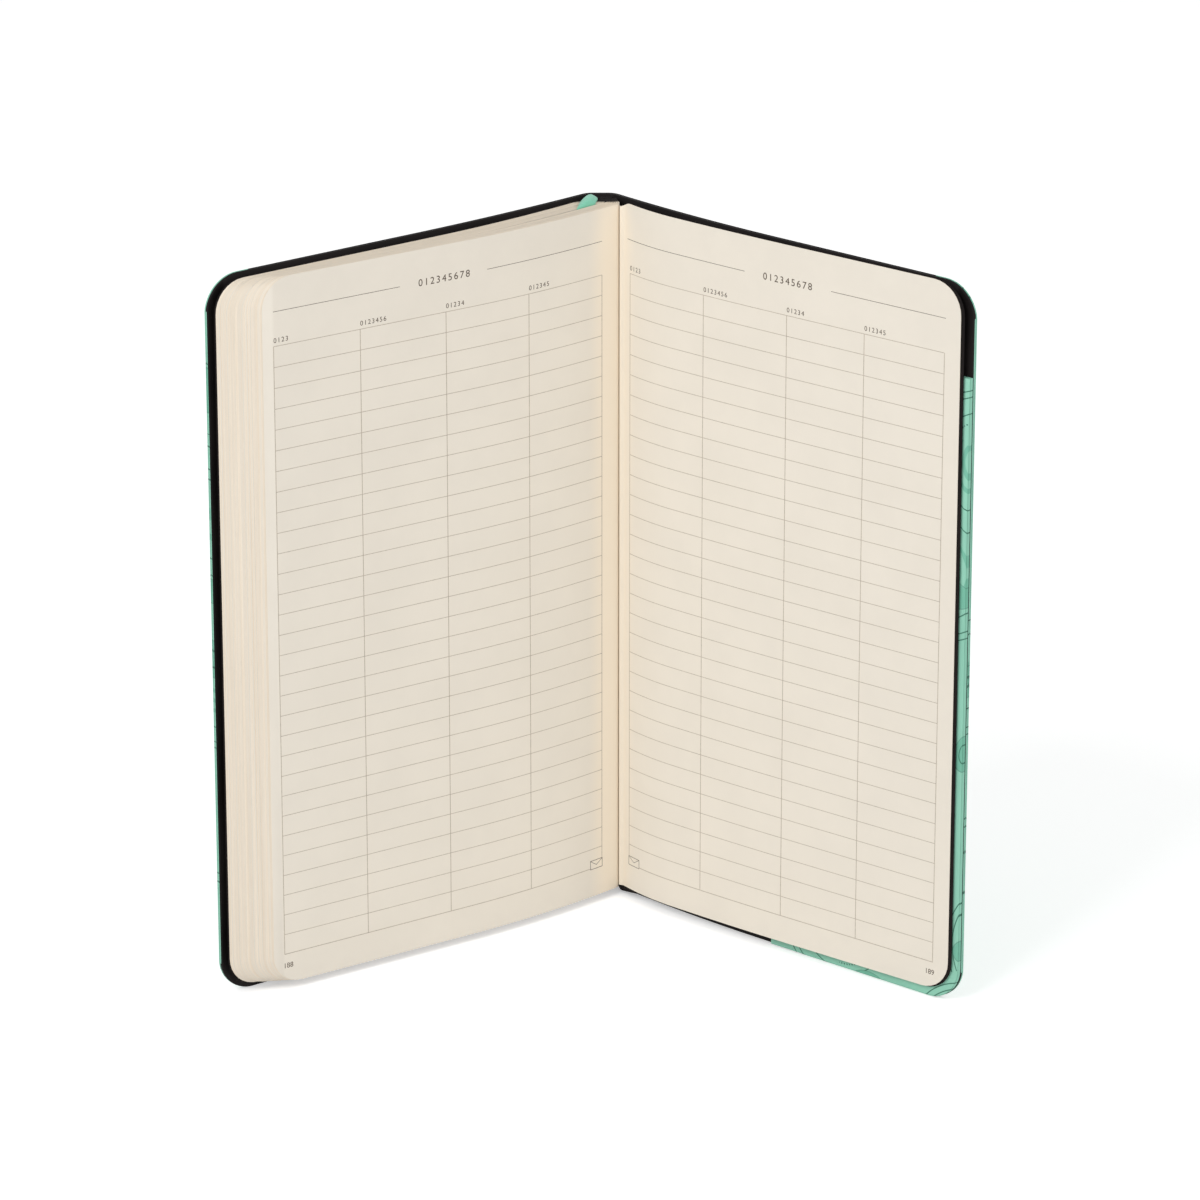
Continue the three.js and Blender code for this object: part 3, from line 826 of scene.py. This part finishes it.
class NOTEBOOK_OT_skin(bpy.types.Operator):
    """Make the printed mint skin of the covers and the spine"""

    bl_idname = "notebook.skin"
    bl_label = "Printed Skin"

    def execute(self, context):
        c = sizes("cover")
        inner = c.board / 2 + 0.00002
        for piece in cover_set(
                "cover_skin", inner, inner + c.skin, ("mint", "lining"), (0, 1), 0.011,
                (("front_cover_skin",), ("spine_skin", "back_joint_skin"), ("back_cover_skin",))):
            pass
        return {"FINISHED"}


class NOTEBOOK_OT_lining(bpy.types.Operator):
    """Make the black lining board of the covers and the spine"""

    bl_idname = "notebook.lining"
    bl_label = "Black Lining"

    def execute(self, context):
        c = sizes("cover")
        for piece in cover_set(
                "cover_lining", -c.board / 2, c.board / 2, ("mint", "lining"), (1, 1), 0.00005,
                (("front_cover_card",), ("spine_card", "back_joint_card"), ("back_cover_card",))):
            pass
        return {"FINISHED"}


def leaf_runs(width):
    """Runs from the fold to the fore edge, closer round the gutter and the corner."""
    f = sizes("leaves")
    return np.unique(np.round(np.concatenate([
        np.linspace(0.0004, 0.0105, 22), np.linspace(0.0115, 0.030, 19),
        np.linspace(0.032, 0.069, 17), np.linspace(0.075, width - f.corner, 5)[:-1],
        corner_runs(width, f.corner, 8)]), 7))


def folded_sheet(first, last, room, width, half, drop, spread):
    """One folded sheet of a section: in along the first leaf, half round the fold on a circle
    between the two leaves, and out along the last leaf. Its two faces lie half a thickness to
    either side of each leaf, as places in the block. Spread maps a place at the folds to the
    place that the leaf has away from the ribbon, where the sections close over its room."""
    f = sizes("leaves")
    run = leaf_runs(width)
    run = np.concatenate([[room], run[run > room + 0.0001]])
    angle = np.linspace(0, np.pi, 8)[1:-1, None]
    out = (smooth(run, 0.0065, 0.0045) + smooth(run, 0.018, 0.048))[:, None]

    def leaf(place):
        return (1 - out) * left_leaf_place(run, place) + out * left_leaf_place(run, spread(place))

    lines = []
    for way in (-half, half):
        a, b = leaf(first + way), leaf(last - way)
        centre, arm = (a[0] + b[0]) / 2, (a[0] - b[0]) / 2
        rise = np.array([-arm[1], arm[0]])
        rise = rise if rise[1] > 0 else -rise
        lines.append(np.concatenate([
            a[::-1], centre + arm * np.cos(angle) + rise * np.sin(angle), b]))
    to_end = np.concatenate([(width - run)[::-1], np.full(6, width), width - run])
    inset = corner_inset(f.corner, to_end)
    low, high = f.foot + inset + drop[0], f.head - inset - drop[1]
    place = np.repeat([first, last], [len(run) + 3, len(run) + 3]) * f.block
    return shell(*[upright(to_end, low, high, 2, line) for line in lines], place, finish=(0, 1, 0))


def section_places(index):
    """First and last place of a section's leaves, with its air and the ribbon's room."""
    f = sizes("leaves")
    air = f.air / f.block
    spare = f.ribbon_room / f.block if index + 1 == f.ribbon_section else 0.0
    return index / f.signatures + air / 2, (index + 1) / f.signatures - air / 2 - spare


class NOTEBOOK_OT_leaves(bpy.types.Operator):
    """Make every folded sheet of the sewn sections"""

    bl_idname = "notebook.leaves"
    bl_label = "Leaves"

    def execute(self, context):
        f = sizes("leaves")
        uneven = np.random.default_rng(11)
        for i in range(f.signatures):
            low, high = section_places(i)
            count = 2 * f.sheets
            pitch = (high - low) / count
            far = (i + 1) / f.signatures - f.air / f.block / 2

            def spread(place, low=low, stretch=(far - low) / (high - low)):
                return low + (place - low) * stretch

            sheets = []
            for k in range(f.sheets):
                first, last = low + pitch * (k + 0.5), high - pitch * (k + 0.5)
                outer = k == 0 and i + 1 == f.signatures
                slack = uneven.uniform(0, 1, 3) * (0.0 if outer else 1.0)
                width = f.width + f.fan * (1 - high) - float(slack[0]) * 0.00022
                room = (high - low) * f.block / 2 + 0.00002
                sheets.append(folded_sheet(
                    first, last, room, width, f.fullness * pitch / 2, slack[1:] * 0.0003, spread))
            name = f"section_{i + 1:02d}"
            piece = make_piece(name, joined(sheets), [stuff("paper"), stuff("cut_stack")])
            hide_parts(f"signature_{i + 1:02d}")
            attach(piece, "book")
        return {"FINISHED"}


def right_shell(start, offset, thickness, past=0.0, margin=0.0, sag=0.0):
    """The right leaf's line as a sheet from a start run to its fore edge, or past it. Its head
    dips beside the fold, and its foot may sag there. The glued margin lifts the open side off the
    line. It grows with the square of the run past the left leaf's hold, as the gap does, and
    fades smoothly where the glue ends."""
    f = sizes("leaves")
    run = leaf_runs(f.width + past)
    run = np.concatenate([[start], run[run > start + 0.0001]])
    inset = corner_inset(f.corner, f.width + past - run)
    low = f.right_foot + inset - sag * np.clip((0.017 - run) / 0.011, 0, 1)
    high = f.right_head - inset - f.fold_dip * smooth(run, 0.010, 0.005)
    opening = np.clip(run - f.last_hold, 0, None) ** 2 / (2 * f.gutter_radius)
    glue = (margin + opening * (margin > 0)) * smooth(run, f.glued_run + 0.0012, f.glued_run)
    sides = [right_leaf_place(run, offset - glue), right_leaf_place(run, offset + thickness)]
    return shell(*[upright(run, low, high, 2, side) for side in sides], run, finish=(0, 1, 0))


def gutter_blend(piece, side):
    """Bakes the piece's place into its mesh, after working out a line across the turn beside the
    gutter. Side is 1 for the right leaf's line and -1 for a line just before the first leaf."""
    f = sizes("leaves")
    line = (right_leaf_place([0.0045, 0.0085], 0.0) if side > 0
            else left_leaf_place([0.0, 0.006], -0.03))
    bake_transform(piece)


class NOTEBOOK_OT_flyleaves(bpy.types.Operator):
    """Make the right leaf and the two black flyleaves"""

    bl_idname = "notebook.flyleaves"
    bl_label = "Last Leaf and Flyleaves"

    def execute(self, context):
        f = sizes("leaves")
        last = make_piece("last_page_leaf", right_shell(
            0.0012, 0.0, 0.0001, margin=0.00014), [stuff("paper"), stuff("cut_paper")])
        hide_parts("last_leaf", "last_leaf_stub")
        gutter_blend(last, 1)
        back = make_piece("back_black_leaf", right_shell(
            0.0014, 0.00022, 0.00015, past=f.black_edge, sag=f.black_sag), [stuff("flyleaf")] * 2)
        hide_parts("back_flyleaf")
        gutter_blend(back, 1)
        run = leaf_runs(f.width + f.fan)
        inset = corner_inset(f.corner, f.width + f.fan - run)
        low, high = f.foot + inset, f.head - inset
        gap = TIP_GAP / f.block
        sides = [left_leaf_place(run, -gap - extra / f.block) for extra in (0.00015, 0.0)]
        front = make_piece(
            "front_black_leaf", shell(*[upright(run, low, high, 2, s) for s in sides], run),
            [stuff("flyleaf")])
        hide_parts("front_flyleaf")
        gutter_blend(front, -1)
        return {"FINISHED"}


# Printing


def left_page(run, lift):
    """Point on the open left page at a run from the gutter's fold, lifted off the paper."""
    f = sizes("leaves")
    low, high = section_places(f.signatures - 1)
    pitch = (high - low) / (2 * f.sheets)
    return left_leaf_place(run, high - pitch / 2 + f.fullness * pitch / 2, lift)


def right_page(run, lift):
    """Point on the right page at a run from its fold, lifted off the paper."""
    return right_leaf_place(run, -lift)


def ink_bar(page, run_a, run_b, z_a, z_b):
    """A printed bar that follows the page, just proud of the paper."""
    run = np.linspace(run_a, run_b, max(2, int(abs(run_b - run_a) / 0.0011) + 1))
    low, high = np.full(run.shape, z_a), np.full(run.shape, z_b)
    return shell(*[upright(run, low, high, 2, page(run, lift)) for lift in INK_FACES], run)


def ink_words(page, text, start, z, tall, way, spacing=1.0):
    """Plain figures of that height printed on a page: a text is made a mesh, and its width follows
    the run. The built-in figures are a share of their size tall."""
    figure_share = 0.69
    curve = bpy.data.curves.new("figures", "FONT")
    curve.body, curve.size, curve.extrude = text, tall / figure_share, 0.5
    curve.space_character = spacing
    holder = bpy.data.objects.new("figures", curve)
    bpy.context.scene.collection.objects.link(holder)
    bpy.context.view_layer.update()
    mesh = bpy.data.meshes.new_from_object(holder)
    points = np.empty(len(mesh.vertices) * 3)
    mesh.vertices.foreach_get("co", points)
    points = points.reshape(-1, 3)
    faces = [list(face.vertices) for face in mesh.polygons]
    bpy.data.objects.remove(holder)
    bpy.data.curves.remove(curve)
    bpy.data.meshes.remove(mesh)
    run = start + way * points[:, 0]
    lifted, under = (page(run, lift) for lift in INK_FACES)
    xy = np.where(points[:, 2:] > 0, lifted, under)
    height = z + points[:, 1]
    solid = np.concatenate([xy, height[:, None]], -1)
    return solid, faces, [0] * len(faces), np.stack([run, height], -1)


def envelope(page, run, z, wide, high):
    """A small plain envelope: four bars and two slanting flap lines."""
    t = sizes("table").weight * 0.7
    far, top = run + wide, z + high
    bars = [ink_bar(page, *ends) for ends in (
        (run, far, z, z + t), (run, far, top - t, top), (run, run + t, z, top),
        (far - t, far, z, top))]
    for side in (0.0, 1.0):
        line = run + wide * np.linspace(side, 0.5, 5)
        height = top - t / 2 - high * 0.55 * np.linspace(0, 1, 5)
        bars.append(shell(*[upright(line, height - t / 2, height + t / 2, 2, page(line, lift))
                            for lift in INK_FACES], line))
    return bars


def page_print(page, way, verticals, rules, title_at, number, number_at, icon, headings):
    """The rules of a page's table as one set of bars, and its figures as another. The small icon
    stands at the gutter: the lowest rule starts after it, and the first vertical ends above it."""
    t = sizes("table")
    top = t.foot + t.rows * t.pitch
    half = t.weight / 2
    icon_run, icon_z, icon_wide, icon_high = icon

    def rule(start, end, z, heft=1.0):
        return ink_bar(page, start, end, z - half * heft, z + half * heft)

    rows = [rule(verticals[0], verticals[-1], t.foot + i * t.pitch, 0.8)
            for i in range(1, t.rows + 1)]
    rows.append(rule(icon_run + icon_wide, verticals[-1], t.foot))
    feet = [icon_z + icon_high] + [t.foot] * (len(verticals) - 1)
    columns = [ink_bar(page, v - half, v + half, foot, top) for v, foot in zip(verticals, feet)]
    head = [rule(start, end, t.head_rule, 0.6) for start, end in rules]
    words = [ink_words(page, "012345678", title_at, t.head_rule - 0.0010, 0.0020, way, 1.33),
             ink_words(page, str(number), *number_at, 0.0015, way)]
    for text, start in zip(("0123", "0123456", "01234", "012345"), headings):
        words.append(ink_words(page, text, start, top + 0.0010, 0.00135, way, 1.28))
    return joined(rows + columns), joined(
        head + words + envelope(page, icon_run, icon_z, icon_wide, icon_high))


class NOTEBOOK_OT_printing(bpy.types.Operator):
    """Print the plain tables and figures on the two open pages"""

    bl_idname = "notebook.printing"
    bl_label = "Printing"

    def execute(self, context):
        mm = 0.001
        icon_z = sizes("table").foot - 0.0004
        left_at = [v * mm for v in (12.7, 39.6, 67.5, 95.3, 122.9)]
        left = page_print(
            left_page, -1, left_at, ((82.4 * mm, 122.9 * mm), (12.7 * mm, 53.8 * mm)), 76.4 * mm,
            188, (123.4 * mm, 6.9 * mm), (12.5 * mm, icon_z, 4.8 * mm, 2.8 * mm), left_at[:0:-1])
        right_at = [v * mm for v in (10.2, 38.8, 68.0, 94.4, 121.2)]
        right = page_print(
            right_page, 1, right_at, ((8.97 * mm, 53.33 * mm), (83.01 * mm, 121.49 * mm)),
            59.73 * mm, 189, (118.6 * mm, 7.3 * mm), (10.0 * mm, icon_z, 4.9 * mm, 2.8 * mm),
            right_at[:-1])
        for side, (table, figures) in (("left", left), ("right", right)):
            for part, solid, ink in (("table", table, "ink"), ("figures", figures, "dark_ink")):
                piece = make_piece(f"{side}_{part}", solid, [stuff(ink)])
                if side == "left":
                    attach(piece, "book")
                else:
                    gutter_blend(piece, 1)
        return {"FINISHED"}


class NOTEBOOK_OT_pocket(bpy.types.Operator):
    """Make the inner back pocket's panel and finish its gussets"""

    bl_idname = "notebook.pocket"
    bl_label = "Back Pocket"

    def execute(self, context):
        c = sizes("cover")
        hinge = hinge_run()
        end = c.width - c.pocket_inset
        run = np.unique(np.round(np.concatenate([
            np.linspace(c.pocket_foot_run, c.pocket_top_run, 26),
            np.linspace(c.pocket_top_run, end - c.corner, 6),
            np.linspace(end - 0.0075, end - 0.0003, 25), corner_runs(end, c.corner, 14)]), 7))
        share = np.clip((run - c.pocket_foot_run) / (c.pocket_top_run - c.pocket_foot_run), 0, 1)
        inset = corner_inset(c.corner - c.pocket_inset, end - run)
        low = c.pocket_foot + inset
        mouth = c.pocket_foot + 0.005
        high = mouth + (c.pocket_top - mouth) * (1 - (1 - share) ** 1.5)
        half = c.pocket_panel / 2
        taper = np.sqrt(1 - np.clip(1 - (end - run) / half, 0, 0.98) ** 2)
        rim, fold_at, fold_rise, fold_half, fold_foot = (
            0.0001, (0.0010, 0.0029), 0.0003, 0.0006, 0.118)
        faces = [upright(run, low + rim, high - rim, 40, cover_place(
            hinge + run, -c.pocket_front + sign * half * taper, 1)) for sign in (1, -1)]
        # Two soft upright folds beside the fore edge, each exp(-(distance / half width) squared)
        fold = sum(np.exp(-((end - run[:, None] - at) / fold_half) ** 2) for at in fold_at)
        fold = fold * np.clip((faces[0][..., 2] - fold_foot) / 0.012, 0, 1)
        on_panel, inwards = (cover_place(hinge + run, -c.pocket_front - off, 1) for off in (0, 1))
        for grid in faces:
            grid[..., :2] += (inwards - on_panel)[:, None, :] * fold_rise * fold[..., None]
        panel = shell(*faces, run, rim=rim, steps=2)
        piece = make_piece("pocket_front", joined([panel, pocket_wall()]), [stuff("pocket")])
        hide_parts("pocket_panel")
        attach(piece, "back_cover")
        for node in ("pocket_foot_gusset", "pocket_side_gusset"):
            dress(node, "pocket_fold")
        return {"FINISHED"}


def pocket_wall():
    """The pocket's closed outer edge: a thin wall between the board and the panel that runs along
    the foot, round the corner on a quarter circle and up the fore edge."""
    c = sizes("cover")
    end, radius = c.width - c.pocket_inset, c.corner - c.pocket_inset
    angle = np.linspace(0, np.pi / 2, 17)
    faces = []
    for out in (0.00014, 0.00003):
        along = np.concatenate([
            np.linspace(c.pocket_foot_run + 0.011, end - radius, 14)[:-1],
            end - radius + (radius + out) * np.sin(angle), np.full(24, end + out)])
        up = np.concatenate([
            np.full(13, c.pocket_foot - out),
            c.pocket_foot + radius - (radius + out) * np.cos(angle),
            np.linspace(c.pocket_foot + radius, c.pocket_top, 25)[1:]])
        rows = [cover_place(hinge_run() + along, -depth, 1)
                for depth in (c.board / 2 + 0.00004, c.pocket_front - c.pocket_panel * 0.2)]
        faces.append(np.stack([np.concatenate([xy, up[:, None]], -1) for xy in rows], 1))
    return shell(*faces, along)


def dress(node, material):
    """Gives a carried-over CAD piece its finished material."""
    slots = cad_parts[node].data.materials
    slots.clear()
    slots.append(stuff(material))


class NOTEBOOK_OT_ribbon(bpy.types.Operator):
    """Make the woven ribbon bookmark over the head of the leaves"""

    bl_idname = "notebook.ribbon"
    bl_label = "Ribbon Bookmark"

    def execute(self, context):
        # The middle line rises behind the folds, arches over the head on half a sine, and goes
        # down between two leaves. Each row across it moves from the glued line to the laid line
        # by a share of (1 - cos(angle)) / 2.
        r, f = sizes("ribbon"), sizes("leaves")
        glued, over, flat = 7, 31, 12
        across = np.linspace(0.5, -0.5, 13)
        x = r.middle + r.width * across
        place = f.ribbon_section / f.signatures - f.ribbon_room / f.block / 2
        back = np.stack([x, np.full(x.shape, r.behind)], -1)
        laid = left_leaf_place(r.laid_run - r.laid_width * across, place)
        angle = np.linspace(0, np.pi, over)
        turned = (1 - np.cos(angle)) / 2
        share = np.concatenate([np.zeros(glued), turned, np.ones(flat)])
        arch = np.concatenate([np.zeros(glued), np.sin(angle), np.zeros(flat)])
        z = np.concatenate([
            np.linspace(f.head - r.glued, f.head - 0.0012, glued), np.full(over, f.head),
            np.linspace(f.head - 0.001, r.tail, flat)])
        pinch = np.concatenate([
            np.linspace(0, 1, glued) ** 4, (1 - turned) ** 1.6, np.zeros(flat)])
        narrow = r.pinch_middle + r.width * across * r.pinch
        gathered = np.stack([narrow, np.full(x.shape, r.behind)], -1)
        start = back + (gathered - back) * pinch[:, None, None]
        grid = np.empty((len(z), len(x), 3))
        grid[..., :2] = start + (laid - start) * share[:, None, None]
        crown = 0.25 + 0.75 * np.cos(np.pi * across * 0.92)
        grid[..., 2] = z[:, None] + r.arch * arch[:, None] * crown
        normal = np.cross(np.gradient(grid, axis=0), np.gradient(grid, axis=1))
        normal /= np.linalg.norm(normal, axis=-1, keepdims=True)
        sides = [grid + normal * s * r.thickness / 2 for s in (1, -1)]
        step = np.linalg.norm(np.diff(grid[:, len(x) // 2], axis=0), axis=-1)
        run = np.concatenate([[0], np.cumsum(step)])
        points, faces, marks, _ = shell(*sides, run, rim=r.thickness / 2, steps=2)
        size = len(points) // len(z)
        wide = np.concatenate([across, [-0.5, -0.5], across[::-1], [0.5, 0.5]]) * r.width
        sheet = np.stack([np.tile(wide, len(z)), np.repeat(run, size)], -1)
        piece = make_piece("ribbon_woven", (points, faces, marks, sheet), [stuff("ribbon")], 60)
        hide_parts("ribbon_bookmark")
        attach(piece, "book")
        return {"FINISHED"}


class NOTEBOOK_OT_binding(bpy.types.Operator):
    """Finish the thread, glue and mull behind the leaves"""

    bl_idname = "notebook.binding"
    bl_label = "Binding"

    def execute(self, context):
        for i in range(4):
            dress(f"sewing_thread_{i + 1}", "thread")
        dress("backbone_glue", "glue")
        dress("mull", "mull")
        return {"FINISHED"}


def seen_ray(tree):
    """1 where the camera or a reflection sees the surface, and 0 for the light it gives."""
    path = put(tree, "ShaderNodeLightPath").outputs
    return number(tree, "MAXIMUM", path["Is Camera Ray"], path["Is Glossy Ray"])


class NOTEBOOK_OT_stage(bpy.types.Operator):
    """Make the pale floor, the soft light and the camera"""

    bl_idname = "notebook.stage"
    bl_label = "Stage"

    def execute(self, context):
        s = sizes("stage")
        scene = context.scene
        scene.view_settings.view_transform = "Standard"
        aim = np.array([0.0, s.aim_depth, s.aim_height])
        back = np.array([0.0, -math.cos(s.elevation), math.sin(s.elevation)])
        lens = bpy.data.cameras.new("camera")
        lens.lens, lens.sensor_width = s.lens, 36.0
        lens.clip_start, lens.clip_end = 0.05, 20.0
        camera = bpy.data.objects.new("camera", lens)
        camera.location = aim + back * s.distance
        camera.rotation_euler = (math.pi / 2 - s.elevation, 0, 0)
        scene.collection.objects.link(camera)
        scene.camera = camera

        # The floor is a fan inside a ring, with the same number of sides
        sides = 64
        angle = np.linspace(0, math.tau, sides + 1)[:-1]
        circle = np.stack([np.cos(angle), np.sin(angle), 0 * angle], -1)
        points = np.concatenate([[(0, 0, 0)], 0.6 * circle, 4.0 * circle])
        inner = np.arange(sides) + 1
        outer, after = inner + sides, np.roll(inner, -1)
        faces = np.stack([0 * inner, inner, after], -1).tolist()
        faces += np.stack([inner, outer, after + sides, after], -1).tolist()
        mesh = bpy.data.meshes.new("floor")
        mesh.from_pydata(points.tolist(), [], faces)
        floor = bpy.data.objects.new("floor", mesh)
        scene.collection.objects.link(floor)
        material, tree, shader = new_material("White floor", 0.9)
        shader.inputs["Base Color"].default_value = (0.86, 0.86, 0.86, 1)
        shader.inputs["Emission Color"].default_value = (1, 1, 1, 1)
        feed(tree, shader.inputs["Emission Strength"], number(
            tree, "MULTIPLY", seen_ray(tree), s.floor_glow))
        mesh.materials.append(material)

        world = bpy.data.worlds.new("studio")
        scene.world = world
        world.use_nodes = True
        tree = world.node_tree
        feed(tree, tree.nodes["Background"].inputs["Strength"], number(
            tree, "MULTIPLY_ADD", seen_ray(tree), 1.0 - s.sky, s.sky))
        tree.nodes["Background"].inputs["Color"].default_value = (1, 1, 1, 1)

        for name, power, size, place in (("key", s.key, 0.7, (-0.75, -0.95, 1.15)),
                                         ("fill", s.fill, 1.0, (0.9, -1.1, 0.7))):
            light = bpy.data.lights.new(name, "AREA")
            light.energy, light.size = power, size
            lamp = bpy.data.objects.new(name, light)
            lamp.location = place
            towards = Vector((0.0, -0.03, 0.1)) - Vector(place)
            lamp.rotation_mode = "QUATERNION"
            lamp.rotation_quaternion = towards.to_track_quat("-Z", "Y")
            scene.collection.objects.link(lamp)
        return {"FINISHED"}


class NOTEBOOK_PT_panel(bpy.types.Panel):
    """Lists the notebook's pieces in the sidebar."""

    bl_idname = "NOTEBOOK_PT_panel"
    bl_label = "Notebook"
    bl_space_type = "VIEW_3D"
    bl_region_type = "UI"
    bl_category = "Notebook"

    def draw(self, context):
        for step in STEPS:
            self.layout.operator(step.bl_idname)
        for group in GROUPS:
            box = self.layout.box()
            settings = getattr(context.scene, f"notebook_{group}")
            for key in settings.__annotations__:
                box.prop(settings, key)


GROUPS = {"cover": NOTEBOOK_PG_cover, "leaves": NOTEBOOK_PG_leaves, "table": NOTEBOOK_PG_table,
          "ribbon": NOTEBOOK_PG_ribbon, "stage": NOTEBOOK_PG_stage}
STEPS = (NOTEBOOK_OT_skin, NOTEBOOK_OT_lining, NOTEBOOK_OT_leaves, NOTEBOOK_OT_flyleaves,
         NOTEBOOK_OT_printing, NOTEBOOK_OT_pocket, NOTEBOOK_OT_ribbon, NOTEBOOK_OT_binding,
         NOTEBOOK_OT_stage)


def register():
    for cls in (*GROUPS.values(), *STEPS, NOTEBOOK_PT_panel):
        bpy.utils.register_class(cls)
    for name, cls in GROUPS.items():
        setattr(bpy.types.Scene, f"notebook_{name}", PointerProperty(type=cls))


def unregister():
    for name in GROUPS:
        delattr(bpy.types.Scene, f"notebook_{name}")
    for cls in reversed((*GROUPS.values(), *STEPS, NOTEBOOK_PT_panel)):
        bpy.utils.unregister_class(cls)


def main():
    register()
    bpy.ops.notebook.skin()
    bpy.ops.notebook.lining()
    bpy.ops.notebook.leaves()
    bpy.ops.notebook.flyleaves()
    bpy.ops.notebook.printing()
    bpy.ops.notebook.pocket()
    bpy.ops.notebook.ribbon()
    bpy.ops.notebook.binding()
    bpy.ops.notebook.stage()


if __name__ == "__main__":
    main()
